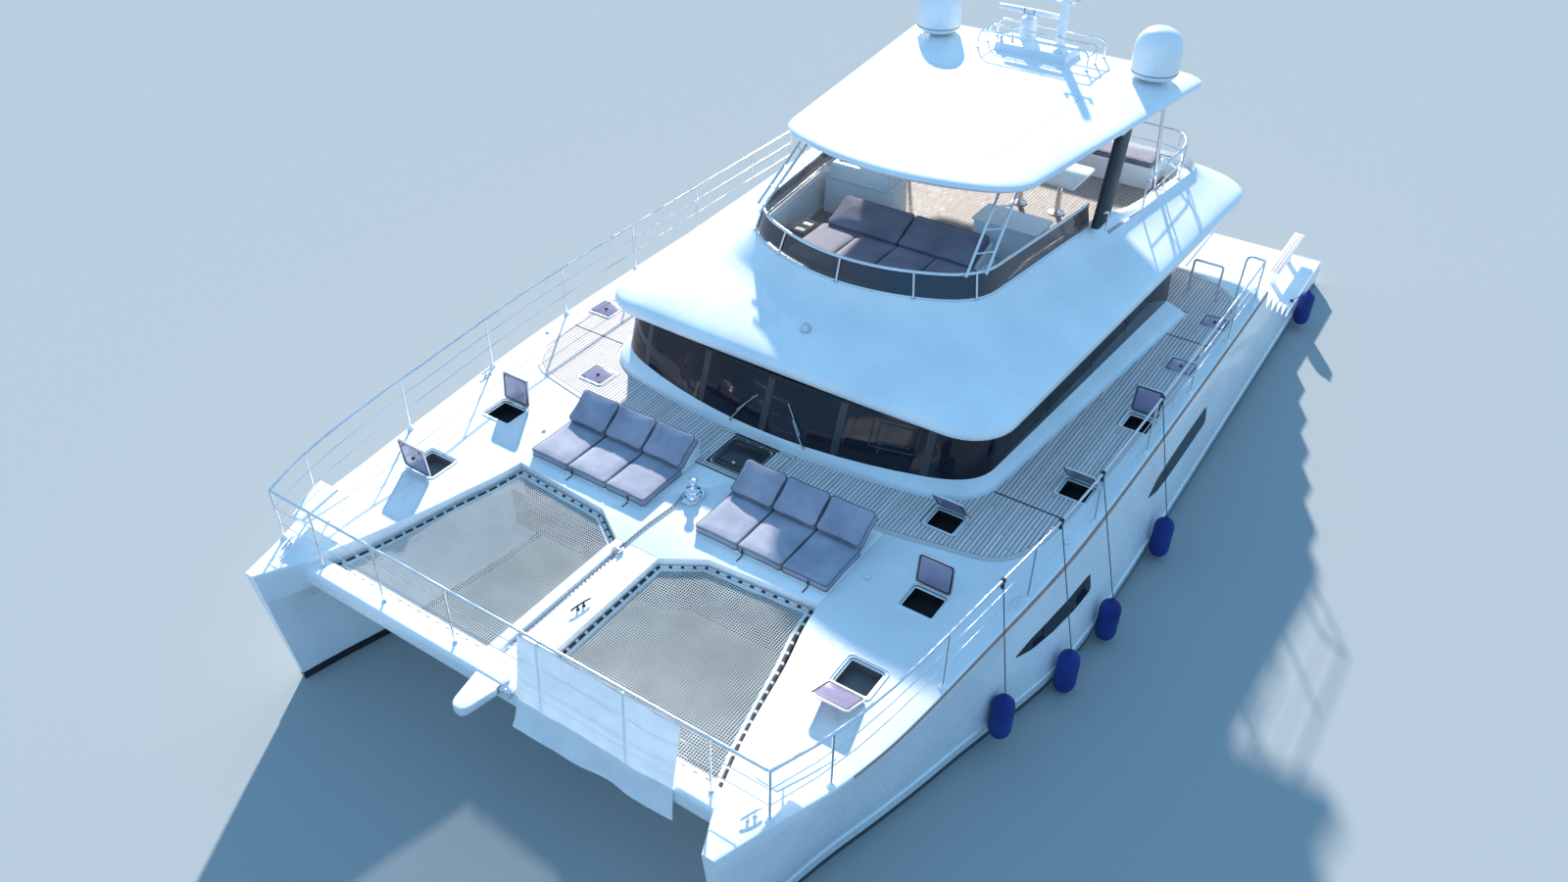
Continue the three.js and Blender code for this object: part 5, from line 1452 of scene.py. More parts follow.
KEEL_LEVELS = ((-1.05, 0.34, 5.88), (-1.045, 0.30, 5.90), (-0.95, -0.34, 5.98), (-0.85, -0.90, 6.04),
               (-0.70, -1.22, 6.10), (-0.56, -1.50, 6.10), (-0.38, -1.80, 6.10))
for side, s in SIDES:
    keel = loft([foil_ring(HULL_X, z, a, b, 0.07 if z == -1.05 else 0.078) for z, a, b in KEEL_LEVELS])
    dress(mirrored(coated(smooth(keel, 50), antifouling), s), "keel_" + side, "boat", "antifouling")
    levels = ((-0.98, 8.756, 9.155), (-0.975, 8.75, 9.162), (-0.80, 8.725, 9.185), (-0.60, 8.703, 9.21),
              (-0.445, 8.69, 9.23), (-0.44, 8.695, 9.226))
    blade = loft([foil_ring(HULL_X, z, a, b, 0.020 if i in (0, 5) else 0.025)
                  for i, (z, a, b) in enumerate(levels)])
    stock = turned([(0, 0.14), (0.04, 0.14), (0.04, -0.411), (0.065, -0.414), (0.065, -0.445),
                    (0.04, -0.46), (0, -0.46)], (HULL_X, RUDDER_Y, 0.0), 24)
    rudder = mirrored(coated(joined(smooth(blade, 50), stock), antifouling), s)
    dress(rudder, "rudder_blade_" + side, "rudder_%s_blade" % side, "antifouling", "rudder_" + side)
print("keels and rudders dressed")

# %% [markdown]
# A propeller blade is a loft too. Its sections run from the hub outwards; each is a thin foil set across
# the shaft, and the pitch angle flattens towards the tip. One blade is made and three copies are turned
# round the hub.

# %% Propellers and their brackets
def blade_ring(r):
    share = (r - 0.05) / 0.228
    chord = 0.16 * math.sin(math.pi * (0.16 + 0.80 * share)) ** 0.6 + 0.01
    pitch = math.radians(68 - 40 * share)
    half_thick = 0.011 * (1 - 0.75 * share) + 0.001
    ring = []
    for k in range(16):
        a = 2 * math.pi * k / 16
        u, w = chord / 2 * math.cos(a), half_thick * math.sin(a)
        ring.append((u * math.cos(pitch) - w * math.sin(pitch),
                     u * math.sin(pitch) * 0.9 + w * math.cos(pitch), r))
    return ring


one_blade = loft([blade_ring(0.05 + 0.228 * k / 9) for k in range(10)])
for side, s in SIDES:
    blades = []
    for k in range(4):
        blade = twin(one_blade)
        blade.rotation_euler = (0, k * math.pi / 2, 0)
        blade.location = (HULL_X, PROP_Y, SHAFT_Z)
        blades.append(smooth(settled(blade), 60))
    hub = turned([(0, -0.155), (0.052, -0.155), (0.060, -0.12), (0.060, 0.03), (0.045, 0.09), (0.02, 0.118),
                  (0, 0.122)], (HULL_X, PROP_Y, SHAFT_Z), 28, "Y")
    shaft = turned([(0, -2.69), (0.035, -2.69), (0.035, 0.0), (0, 0.0)], (HULL_X, PROP_Y, SHAFT_Z), 20, "Y")
    wheel = mirrored(coated(joined(hub, *blades), bronze), s)
    dress(wheel, "propeller_blades_" + side, "shaftline_" + side, "bronze", "propeller_" + side)
    dress(mirrored(coated(shaft, steel), s), "propeller_shaft_" + side, "shaftline_" + side, "steel")
    barrel = turned([(0.04, -0.09), (0.066, -0.09), (0.075, -0.07), (0.075, 0.07), (0.066, 0.09),
                     (0.04, 0.09), (0.04, -0.09)], (HULL_X, 7.95, SHAFT_Z), 28, "Y")
    strut = loft([foil_ring(HULL_X, z, 7.87, 8.02, 0.018) for z in (-0.62, -0.5, -0.3, -0.15)])
    boss = turned([(0.045, -0.41), (0.078, -0.41), (0.08, -0.40), (0.10, -0.30), (0.10, -0.15),
                   (0.045, -0.15), (0.045, -0.41)], (HULL_X, RUDDER_Y, 0.0), 28)
    bracket = joined(barrel, smooth(strut, 50), boss)
    dress(mirrored(coated(bracket, antifouling), s), "shaft_bracket_" + side, "boat", "antifouling")
bpy.data.objects.remove(one_blade)
print("propellers dressed")

# %% [markdown]
# ## Bridge deck and bows
#
# Between the hulls lies the bridge deck: foredeck, saloon sole and cockpit in one moulding. The solid
# already has its shape, so a copy of it is taken, its loose triangles are merged, and every edge is rounded
# as a mould rounds it. `copy_of` and `rounded` do both. The crossbeam is a rounded cuboid.

# %% Bridge deck, crossbeam, longeron and bow tongue
# Below SHADE_LINE the bridge deck's underside is painted dark as painted shade.
SHADE_LINE = 1.745
fin_ends = [cuboid((s * x - 0.05, -4.95, 1.902), (s * x + 0.05, -4.40, 2.3)) for s in (1, -1)
            for x in (0.42, 2.38)]
bridge = cut(copy_of("bridge_deck", 0.5), *fin_ends)
bridge = coated(rounded(bridge, 0.006, 2, 40), gelcoat)
bpy.ops.object.mode_set(mode="EDIT")
bpy.ops.mesh.select_all(action="SELECT")
bpy.ops.mesh.bisect(plane_co=(0, 0, SHADE_LINE), plane_no=(0, 0, 1))
bpy.ops.object.mode_set(mode="OBJECT")
in_nonskid(bridge, lambda c: 1.895 < c.z < 1.905 and c.y < -4.3)
bridge.data.materials.append(teak)
bridge.data.materials.append(antifouling)
# Sole faces take teak. Faces below the shade line that look down or forward take the dark finish as painted
# shade, so the holes of the nets read dark.
for face in bridge.data.polygons:
    if face.normal.z > 0.97 and 0.845 < face.center.z < 1.04:
        face.material_index = 2
    elif face.center.z < SHADE_LINE and min(face.normal.y, face.normal.z) < -0.3:
        face.material_index = 3
dress(bridge, "bridge_deck_moulding", "boat", "gelcoat", "bridge_deck")

beam = rounded(cuboid((-3.30, -9.05, 1.63), (3.30, -8.75, 1.90)), 0.05, 5)
gutter = cuboid((-0.215, -8.66, 1.862), (-0.115, -6.2, 2.1))
hawse = cuboid((-0.195, -8.65, 1.6), (-0.135, -8.56, 2.1))
longeron = cut(cuboid((-0.34, -8.78, 1.72), (0.34, -6.40, 1.90)), gutter, hawse)
longeron = rounded(longeron, 0.014, 3)
prow = [(-0.205, -8.95), (-0.20, -9.06), (-0.125, -9.44), (-0.10, -9.50), (-0.055, -9.545), (0.055, -9.545),
        (0.10, -9.50), (0.125, -9.44), (0.20, -9.06), (0.205, -8.95)]
tongue = loft([[(x * 0.8, y * 0.99 - 0.09, 1.745) for x, y in prow], [(x, y, 1.80) for x, y in prow],
               [(x, y, 1.885) for x, y in prow]])
tongue = rounded(tongue, 0.014, 3)
print("bows started:", beam.name, longeron.name, tongue.name)

# %% [markdown]
# The longeron joins the beam to the foredeck. A shallow gutter in its top carries the anchor chain from the
# windlass to a hawse hole by the beam. A chain link is a small closed pipe. Links lie on edge and flat by
# turns, so one pair is made and copied along the route. The bow tongue is a plain white prow, with a roller
# beside it.

# %% Roller, cleats and chain
roller = turned([(0, -0.075), (0.035, -0.075), (0.042, -0.06), (0.026, -0.01), (0.026, 0.01), (0.042, 0.06),
                 (0.035, 0.075), (0, 0.075)], (0.31, -9.085, 1.915), 24, "X")
cheeks = [rounded(cuboid((x, -9.14, 1.86), (x + 0.008, -8.93, 1.965)), 0.003, 2) for x in (0.223, 0.389)]
stopper = [rounded(cuboid((x, -6.66, 1.898), (x + 0.020, -6.54, 1.955)), 0.005, 2) for x in (-0.225, -0.125)]
stopper.append(rounded(cuboid((-0.225, -6.615, 1.944), (-0.105, -6.585, 1.956)), 0.004, 2))
dress(coated(joined(roller, *cheeks, *stopper), steel), "bow_roller_and_stopper", "boat", "steel")


def cleat(x, y, z, length=0.26, turn=0.0):
    """A horn cleat: two feet and a long bar with drooping horns."""
    bar = pipe([(-length / 2, 0, 0.052), (-length / 4, 0, 0.062), (length / 4, 0, 0.062),
                (length / 2, 0, 0.052)], 0.012, 0.05)
    feet = [turned([(0, 0.062), (0.013, 0.062), (0.014, 0.02), (0.026, 0.0), (0, 0.0)], (dx, 0, 0), 16)
            for dx in (-0.045, 0.045)]
    whole = joined(bar, *feet)
    whole.rotation_euler = (0, 0, turn)
    whole.location = (x, y, z)
    return settled(whole)


FILLERS = ((2.70, -5.22), (4.50, -3.20), (4.53, 2.60))
CLEATS = ((3.55, -8.95, 2.005, 1.2), (4.42, -4.62, 1.90, 1.5), (4.60, 0.75, 1.90, 1.57),
          (4.62, 4.70, 1.90, 1.57))
for side, s in SIDES:
    caps = [turned([(0, 0.0), (0.034, 0.0), (0.034, 0.004), (0.024, 0.006), (0.012, 0.004), (0, 0.004)],
                   (x, y, 1.9125), 24) for x, y in FILLERS]
    row = joined(*[cleat(x, y, z, turn=t) for x, y, z, t in CLEATS], *caps)
    dress(mirrored(coated(row, steel), s), "deck_cleats_" + side, "boat", "steel")
dress(coated(cleat(0.12, -7.62, 1.90, 0.30, 1.4), black), "bridle_cleat", "boat", "black_plastic")
dress(coated(joined(beam, longeron, tongue), gelcoat), "crossbeam_and_longeron", "boat", "gelcoat",
      "crossbeam")


def chain_link(flat):
    half, bend = 0.024, 0.0135
    ring = [(0.0, -half, 0.0), (bend, -half + bend, 0.0), (bend, half - bend, 0.0), (0.0, half, 0.0),
            (-bend, half - bend, 0.0), (-bend, -half + bend, 0.0)]
    if not flat:
        ring = [(0.0, y, x) for x, y, z in ring]
    return pipe(ring, 0.0065, ring=0, closed=True)


def chain_height(y):
    """The chain rises to the windlass, lies on the foredeck and in the gutter, and dives at the hawse."""
    if y > -6.42:
        return 1.921 + 0.062 * eased_step(y, -5.50, -5.30)
    if y > -8.50:
        return 1.883 + 0.038 * eased_step(y, -6.70, -6.42)
    return 1.883 - 0.13 * eased_step(-y, 8.50, 8.62)


pair = (chain_link(True), chain_link(False))
links = []
for k in range(92):
    link = twin(pair[k % 2])
    y = -5.30 - 0.0360 * k
    link.location = (-0.165 + (0.055 * eased_step(y, -6.2, -5.35)), y, chain_height(y))
    links.append(link)
only(*links)
bpy.ops.object.join()
chain = settled(bpy.context.object)
for obj in pair:
    bpy.data.objects.remove(obj)
dress(coated(smooth(chain, 70), galvanised), "anchor_chain", "boat", "steel")
print("chain links:", len(links))

# %% [markdown]
# ## Trampolines
#
# A trampoline is woven webbing lashed into the opening. Its strands cross every 35 mm, the spacing measured
# on the picture straightened onto the plane of the net. Each strand here is a thin strip with a few bends,
# so that it sags a little with the net, and one set of strands lies over the other. White webbing edges the
# net. A black bolt rope lies between the net and the boat, and white sleeves cover parts of it: short ones
# along the boat, long ones across it. The outboard side stays a little clear of the deck, so that the deck
# edge doesn't hide the rope.

# %% Net outline and strands
NET_Z, NET_PITCH = 1.788, 0.035
NET_CLEAR = 0.045
NET_FRAME = [(0.345, -8.748)] + [(line("deck_in", y) - NET_CLEAR, y)
                                 for y in (-8.748, -8.2, -7.6, -7.0, -6.5, -5.99)]
NET_FRAME += [(0.875, -6.09), (0.345, -6.435)]
NET_PORT = inset_outline(NET_FRAME, 0.050)


def sag(x, y):
    u = min(max((x - 0.40) / 2.2, 0), 1)
    v = min(max((y + 8.70) / 2.5, 0), 1)
    return 0.022 * math.sin(math.pi * u) * math.sin(math.pi * v)


def crossings(outline, axis, value):
    """Where a line of constant x or y crosses the outline."""
    hits = []
    for (ax, ay), (bx, by) in zip(outline, outline[1:] + outline[:1]):
        a, b = ((ax, ay), (bx, by)) if axis == 0 else ((ay, ax), (by, bx))
        if (a[0] - value) * (b[0] - value) < 0:
            t = (value - a[0]) / (b[0] - a[0])
            hits.append(a[1] + t * (b[1] - a[1]))
    return min(hits), max(hits)


def strand(axis, value, start, stop, wide=0.0056, thick=0.004, bends=6):
    rings = []
    for k in range(bends + 1):
        along_it = start + (stop - start) * k / bends
        x, y = (value, along_it) if axis == 0 else (along_it, value)
        z = NET_Z - sag(x, y) + (0.003 if axis == 0 else -0.003)
        dx, dy = (wide, 0) if axis == 0 else (0, wide)
        rings.append([(x - dx, y - dy, z), (x + dx, y + dy, z), (x + dx * 0.5, y + dy * 0.5, z + thick),
                      (x - dx * 0.5, y - dy * 0.5, z + thick)])
    return rings


def strips(name, all_rings):
    """Many thin four-sided strips in one mesh, each closed at both ends."""
    points, faces = [], []
    for rings in all_rings:
        base = len(points)
        for ring in rings:
            points += ring
        for k in range(len(rings) - 1):
            for i in range(4):
                a, b = base + 4 * k + i, base + 4 * k + (i + 1) % 4
                faces.append((a, b, b + 4, a + 4))
        faces.append(tuple(base + i for i in (3, 2, 1, 0)))
        end = base + 4 * (len(rings) - 1)
        faces.append(tuple(end + i for i in (0, 1, 2, 3)))
    mesh = bpy.data.meshes.new(name)
    mesh.from_pydata(points, [], faces)
    obj = bpy.data.objects.new(name, mesh)
    bpy.context.scene.collection.objects.link(obj)
    only(obj)
    bpy.ops.object.mode_set(mode="EDIT")
    bpy.ops.mesh.select_all(action="SELECT")
    bpy.ops.mesh.normals_make_consistent(inside=False)
    bpy.ops.object.mode_set(mode="OBJECT")
    return obj


def rows(axis):
    """Places of the strands between the two ends of the outline, one pitch apart."""
    ends = [point[axis] for point in NET_PORT]
    count = int((max(ends) - min(ends)) / NET_PITCH - 0.5)
    return [min(ends) + NET_PITCH * (k + 0.75) for k in range(count)]


net_strands = []
for axis in (0, 1):
    for place in rows(axis):
        net_strands.append(strand(axis, place, *crossings(NET_PORT, axis, place)))


def edge_band(outline, width, low, high):
    outer, inner = outline, inset_outline(outline, width)
    return cut(slab(outer, low, high), slab(inner, low - 0.1, high + 0.1))


def sleeves(outline, spacing=0.16):
    """White sleeves on the bolt rope, with the black rope bare between them."""
    pieces = []
    for a, b in zip(outline, outline[1:] + outline[:1]):
        a, b = Vector((*a, NET_Z + 0.004)), Vector((*b, NET_Z + 0.004))
        count = max(round((b - a).length / spacing), 1)
        across = abs(b.x - a.x) > abs(b.y - a.y)
        half = (b - a).normalized() * (0.055 if across else 0.020)
        for k in range(count):
            middle = a.lerp(b, (k + 0.5) / count)
            pieces.append(pipe([middle - half, middle + half], 0.0215, ring=2))
    return joined(*pieces)


band_piece = rounded(edge_band(NET_PORT, 0.045, NET_Z - 0.004, NET_Z + 0.009), 0.002, 1)
bolt_rope = pipe([(x, y, NET_Z + 0.004) for x, y in inset_outline(NET_FRAME, 0.025)], 0.018, 0.02, ring=2,
                 closed=True)
sleeve_piece = sleeves(inset_outline(NET_FRAME, 0.025))
for side, s in SIDES:
    net = mirrored(strips("net", net_strands), s)
    net = dress(coated(net, webbing), "trampoline_net_" + side, "boat", "net", "trampoline_" + side)
    edge = mirrored(twin(band_piece), s)
    edge = dress(coated(edge, rope_white), "trampoline_edge_" + side, "boat", "net")
    rope = dress(mirrored(coated(twin(bolt_rope), rope_black), s), "trampoline_bolt_rope_" + side, "boat",
                 "net")
    loops = dress(mirrored(coated(twin(sleeve_piece), rope_white), s), "trampoline_sleeves_" + side, "boat",
                  "net")
for obj in (band_piece, bolt_rope, sleeve_piece):
    bpy.data.objects.remove(obj)

# %% [markdown]
# ## Deck rails
#
# Steel stanchions stand on the deck a little inside its edge, with a top rail and two wires. White plastic
# bases hold them. The top rail is one pipe with eased corners. At the bows the rails run on across the
# beam.

# %% Side rails
RAIL_Y = (-8.88, -8.15, -6.28, -4.43, -2.60, -0.75, 1.10, 2.90, 4.30)
WIRES_Z = (2.25, 2.50)


def rail_x(y):
    return line("deck_out", y) - 0.07


def rail_top(y):
    return 2.75 + (line("deck_z", y) - DECK_Z) * 0.3


def stanchion_base(x, y, z):
    return turned([(0, 0.055), (0.022, 0.052), (0.026, 0.03), (0.045, 0.012), (0.050, 0.0), (0, -0.003)],
                  (x, y, z), 20)


finer = [RAIL_Y[0] + (RAIL_Y[-1] - RAIL_Y[0]) * k / 24 for k in range(25)]
for side, s in SIDES:
    runs = [pipe([(rail_x(y), y, rail_top(y)) for y in finer], 0.018, ring=3)]
    runs += [pipe([(rail_x(y), y, z) for y in finer], 0.006, ring=1) for z in WIRES_Z]
    runs += [pipe([(rail_x(y), y, line("deck_z", y) + 0.02), (rail_x(y), y, rail_top(y))], 0.0145, ring=2)
             for y in RAIL_Y]
    end_y = RAIL_Y[-1]
    end_x, end_z = rail_x(end_y), rail_top(end_y)
    turn_down = [(end_x, end_y, end_z), (end_x - 0.30, end_y + 0.04, end_z),
                 (end_x - 0.32, end_y + 0.04, 1.91)]
    runs.append(pipe(turn_down, 0.018, 0.12, ring=3))
    runs.append(pipe([(3.66, 4.06, 1.91), (3.66, 4.06, 2.56), (4.15, 4.06, 2.56), (4.15, 4.06, 1.91)],
                     0.021, 0.05, ring=3))
    runs.append(pipe([(3.66, 4.06, 2.24), (4.15, 4.06, 2.24)], 0.016, ring=2))
    dress(mirrored(coated(joined(*runs), steel), s), "deck_rail_" + side, "boat", "steel", "rail_" + side)
    bases = joined(*[stanchion_base(rail_x(y), y, line("deck_z", y)) for y in RAIL_Y])
    dress(mirrored(coated(bases, gelcoat), s), "stanchion_bases_" + side, "boat", "gelcoat")
print("side rails dressed")

# %% [markdown]
# In each bow corner a moulded seat hangs on the rail. A rounded plate is its seat, on a steel leg.

# %% Front rail and bow seats
FRONT_Y = -8.88
end_x = rail_x(FRONT_Y) - 0.024
front = [pipe([(-end_x, FRONT_Y, rail_top(FRONT_Y)), (end_x, FRONT_Y, rail_top(FRONT_Y))], 0.018, ring=3)]
front += [pipe([(-end_x, FRONT_Y, z), (end_x, FRONT_Y, z)], 0.006, ring=1) for z in WIRES_Z]
for x in (-3.0, -1.9, -0.7, 0.7, 1.9, 3.0):
    front.append(pipe([(x, FRONT_Y, 1.89), (x, FRONT_Y, rail_top(FRONT_Y))], 0.0145, ring=2))
    front.append(turned([(0, 0.02), (0.030, 0.016), (0.038, 0.0), (0, 0.0)], (x, FRONT_Y, 1.897), 16))
dress(coated(joined(*front), steel), "front_rail", "boat", "steel")
for side, s in SIDES:
    seat = rounded(slab([(3.42, -8.70), (3.70, -8.72), (3.86, -8.36), (3.98, -8.04), (3.42, -8.04)], 2.244,
                        2.274), 0.012, 3)
    leg = pipe([(3.54, -8.35, line("deck_z", -8.35)), (3.54, -8.35, 2.25)], 0.014)
    foot = turned([(0, 0.02), (0.030, 0.016), (0.036, 0.0), (0, 0.0)], (3.54, -8.35, line("deck_z", -8.35)),
                  16)
    dress(mirrored(coated(seat, gelcoat), s), "bow_seat_" + side, "boat", "gelcoat")
    dress(mirrored(coated(joined(leg, foot), steel), s), "bow_seat_leg_" + side, "boat", "steel")
print("front rail and bow seats dressed")

# %% [markdown]
# ## Windlass, domes and mast
#
# The windlass is a turned chrome capstan on an oval base. Domes are turned as well: a drum with a soft
# crown that stands on a short foot. The mast frame is a low hoop of steel tube over a box, with the radar
# bar on its pedestal.

# %% Windlass and domes
base = rounded(rounded_plate(-0.02, -5.21, 0.27, 0.38, ON_DECK, 1.955, 0.12), 0.012, 3)
capstan = turned([(0, 0.0), (0.118, 0.0), (0.122, 0.012), (0.114, 0.030), (0.100, 0.038), (0.078, 0.050),
                  (0.078, 0.060), (0.102, 0.074), (0.098, 0.094), (0.066, 0.114), (0.050, 0.138),
                  (0.047, 0.168), (0.056, 0.198), (0.067, 0.212), (0.066, 0.232), (0.046, 0.246),
                  (0, 0.252)], (-0.02, -5.20, 1.953), 40)
dress(coated(joined(base, capstan), steel), "anchor_windlass", "boat", "steel", "windlass")

dome_profile = [(0, -0.05), (0.14, -0.05), (0.15, -0.03), (0.15, 0.05), (0.22, 0.055), (0.33, 0.06),
                (0.365, 0.075), (0.39, 0.11), (0.398, 0.16), (0.400, 0.26), (0.400, 0.40), (0.396, 0.50),
                (0.382, 0.60), (0.355, 0.68), (0.31, 0.755), (0.25, 0.808), (0.18, 0.843), (0.10, 0.863),
                (0, 0.870)]
seam_profile = [(0.3995, 0.150), (0.404, 0.152), (0.404, 0.160), (0.3995, 0.162), (0.39, 0.156),
                (0.3995, 0.150)]
for side, s in SIDES:
    spot = (s * 2.04, 5.04, 5.045)
    dress(coated(turned(dome_profile, spot, 56), gelcoat), "dome_shell_" + side, "boat", "gelcoat",
          "dome_" + side)
    dress(coated(turned(seam_profile, spot, 56), rubber), "dome_seam_" + side, "boat", "black_plastic")
print("windlass and domes dressed")

# %% Mast frame, radar pedestal and lights
hoop = []
for y in (4.68, 5.08, 5.48):
    hoop.append(pipe([(-1.05, y, 5.03), (-1.05, y, 5.384), (1.0, y, 5.384), (1.0, y, 5.03)], 0.016, 0.14,
                     ring=3))
for x, y in ((-1.05, 4.68), (-1.05, 5.48), (1.0, 4.68), (1.0, 5.48), (-1.05, 5.08), (1.0, 5.08)):
    hoop.append(turned([(0, 0.02), (0.032, 0.016), (0.04, 0.0), (0, -0.02)], (x, y, 5.06), 16))
hoop += [pipe([(x, 4.68, 5.30), (x, 5.48, 5.30)], 0.013) for x in (-1.05, 1.0)]
dress(coated(joined(*hoop), steel), "mast_hoop", "boat", "steel")
mast_box = rounded(drawn_in(cuboid((-0.80, 4.74, 5.0), (0.60, 5.44, 5.20)), 5.1, 0.05, 0.09), 0.03, 4)
RADAR_X, RADAR_Y, RADAR_Z = -0.42, 5.35, 5.642
pedestal = turned([(0, -0.12), (0.145, -0.12), (0.15, -0.10), (0.148, 0.0), (0.150, 0.10), (0.148, 0.20),
                   (0.125, 0.25), (0.07, 0.27), (0, 0.272)], (RADAR_X, RADAR_Y, 5.28), 36)
post = rounded(drawn_in(cuboid((0.21, 5.10, 5.17), (0.33, 5.30, 6.35)), 6.0, 0.12, 0.2), 0.015, 3)
spreader = rounded(cuboid((0.02, 5.17, 5.93), (0.52, 5.23, 5.965)), 0.010, 3)
dress(coated(joined(mast_box, pedestal, post, spreader), gelcoat), "mast_box_and_post", "boat", "gelcoat",
      "mast_frame")
lamps = [turned([(0, 0), (0.032, 0), (0.034, 0.01), (0.034, 0.07), (0.028, 0.085), (0, 0.09)], (x, y, z), 24)
         for x, y, z in ((0.06, 5.20, 5.965), (0.48, 5.20, 5.965), (-0.70, 4.88, 5.195))]
dress(coated(joined(*lamps), satin), "mast_lamps", "boat", "steel")
aerials = [turned([(0, 0.0), (0.03, 0.0), (0.028, 0.06), (0.012, 0.10), (0.010, 0.30), (0, 0.31)],
                  (x, y, z), 20) for x, y, z in ((0.48, 4.86, 5.195), (-0.55, 5.0, 5.195))]
aerials.append(turned([(0, 0.0), (0.085, 0.0), (0.09, 0.02), (0.07, 0.055), (0, 0.075)],
                      (0.36, 4.90, 5.195), 28))
dress(coated(joined(*aerials), gelcoat), "mast_aerials", "boat", "gelcoat")
print("mast dressed")

# %% [markdown]
# The radar bar turns on its own body. It is a long rounded bar, slimmer to the ends, with a band of joint
# round its middle.

# %% Radar bar
def radar_ring(x):
    slim = 1 - 0.25 * (abs(x) / 0.59) ** 3
    half_y, half_z = 0.055 * slim, 0.048 * slim
    ring = []
    for k in range(20):
        a = 2 * math.pi * k / 20
        c, d = math.cos(a), math.sin(a)
        ring.append((x, RADAR_Y + half_y * math.copysign(abs(c) ** 0.5, c),
                     RADAR_Z + half_z * math.copysign(abs(d) ** 0.5, d)))
    return [(px + RADAR_X, py, pz) for px, py, pz in ring]


bar_piece = loft([radar_ring(x) for x in (-0.59, -0.575, -0.5, -0.3, -0.08, 0.08, 0.3, 0.5, 0.575, 0.59)])
hub = turned([(0, -0.09), (0.06, -0.09), (0.062, -0.06), (0.10, -0.035), (0, -0.03)],
             (RADAR_X, RADAR_Y, RADAR_Z), 28)
dress(coated(joined(smooth(bar_piece, 60), hub), gelcoat), "radar_bar", "scanner", "gelcoat", "radar_scanner")
ends = joined(*[rounded(cuboid((RADAR_X + a, 5.292, 5.59), (RADAR_X + b, 5.408, 5.694)), 0.012, 3)
                for a, b in ((-0.10, -0.085), (0.085, 0.10))])
dress(coated(ends, black), "radar_bar_bands", "scanner", "black_plastic")
print("radar dressed")

# %% [markdown]
# ## Wheel, wipers, table and door
#
# Small working parts: the helm wheel with a padded rim on three spokes, two wipers parked on the front
# glass, the flybridge table, and the sliding door with its dark pane.

# %% Helm wheel
wheel_centre = Vector((-1.35, 1.8803, 3.56))
rim = []
for k in range(48):
    a = 2 * math.pi * k / 48
    rim.append(wheel_centre + Vector((0.225 * math.cos(a), 0, 0.225 * math.sin(a))))
rim = pipe(rim, 0.0165, ring=4, closed=True)
spokes = []
for a in (90, 210, 330):
    c, d = math.cos(math.radians(a)), math.sin(math.radians(a))
    spokes.append(pipe([wheel_centre + Vector((0.03 * c, -0.02, 0.03 * d)),
                        wheel_centre + Vector((0.12 * c, -0.02, 0.12 * d)),
                        wheel_centre + Vector((0.222 * c, 0, 0.222 * d))], 0.010, 0.05))
wheel_hub = turned([(0, -0.13), (0.036, -0.13), (0.036, -0.02), (0.045, 0.0), (0.03, 0.018), (0, 0.02)],
                   wheel_centre, 28, "Y")
dress(coated(rim, black), "helm_rim", "helm", "black_plastic", "helm_wheel")
dress(coated(joined(wheel_hub, *spokes), steel), "helm_spokes", "helm", "steel")

# %% Wipers
def on_glass(x, t):
    """A point on the front glass at x and a share t of its height."""
    front, bulge, half, radius = glass_plan(t, 0.016)[:4]
    u = abs(x) / (half - radius)
    return Vector((x, front + bulge * u * u, GLASS_FOOT_Z + (GLASS_HEAD_Z - GLASS_FOOT_Z) * t))


WIPER_PLACES = ((-0.52, (-0.46, 0.20), (-0.16, 0.62)), (0.72, (0.62, 0.18), (0.34, 0.66)))
wipers, blades = [], []
for root, low_end, high_end in WIPER_PLACES:
    foot = on_glass(root, 0.0) + Vector((0, -0.03, -0.005))
    mid_across, mid_up = (low_end[0] + high_end[0]) / 2, (low_end[1] + high_end[1]) / 2
    middle = on_glass(mid_across, mid_up) + Vector((0, -0.045, 0.01))
    wipers.append(pipe([foot + Vector((0, 0.02, -0.01)), foot + Vector((0, -0.03, 0.02)), middle], 0.008,
                       0.05))
    wipers.append(turned([(0, 0.035), (0.022, 0.032), (0.028, 0.0), (0, -0.01)], foot, 16))
    a, b = on_glass(*low_end) + Vector((0, -0.012, 0.003)), on_glass(*high_end) + Vector((0, -0.012, 0.003))
    blades.append(pipe([a, (a + b) / 2 + Vector((0, -0.004, 0.001)), b], 0.007))
frames = []
for x_low, x_high, t_low, t_high in ((1.60, 2.24, 0.36, 0.88), (1.69, 2.15, 0.46, 0.80)):
    outline = [(x_low, t_low), (x_high, t_low), (x_high, t_high), (x_low, t_high)]
    route = [on_glass(a + (c - a) * k / 4, b + (d - b) * k / 4)
             for (a, b), (c, d) in zip(outline, outline[1:] + outline[:1]) for k in range(4)]
    frames.append(pipe(route, 0.013, ring=2, closed=True))
dress(coated(joined(*frames), pane_edge), "opening_pane_frame", "boat", "black_plastic")
dress(coated(joined(*wipers), satin), "wiper_arms", "boat", "steel")
dress(coated(joined(*blades), satin), "wiper_blades", "boat", "steel")
print("wheel and wipers dressed")

# %% Table, door, bulkhead, platform and passerelle
top = rounded(rounded_plate(0.95, 3.50, 1.50, 1.00, 3.68, 3.72, 0.08), 0.010, 3)
legs = [turned([(0, 0.0), (0.14, 0.0), (0.14, 0.012), (0.05, 0.03), (0.045, 0.66), (0.11, 0.69),
                (0.11, 0.701), (0, 0.701)], (x, 3.5, 2.981), 32) for x in (0.60, 1.30)]
dress(coated(top, gelcoat), "flybridge_table_top", "boat", "table_top", "fly_table")
dress(coated(joined(*legs), steel), "flybridge_table_legs", "boat", "steel")

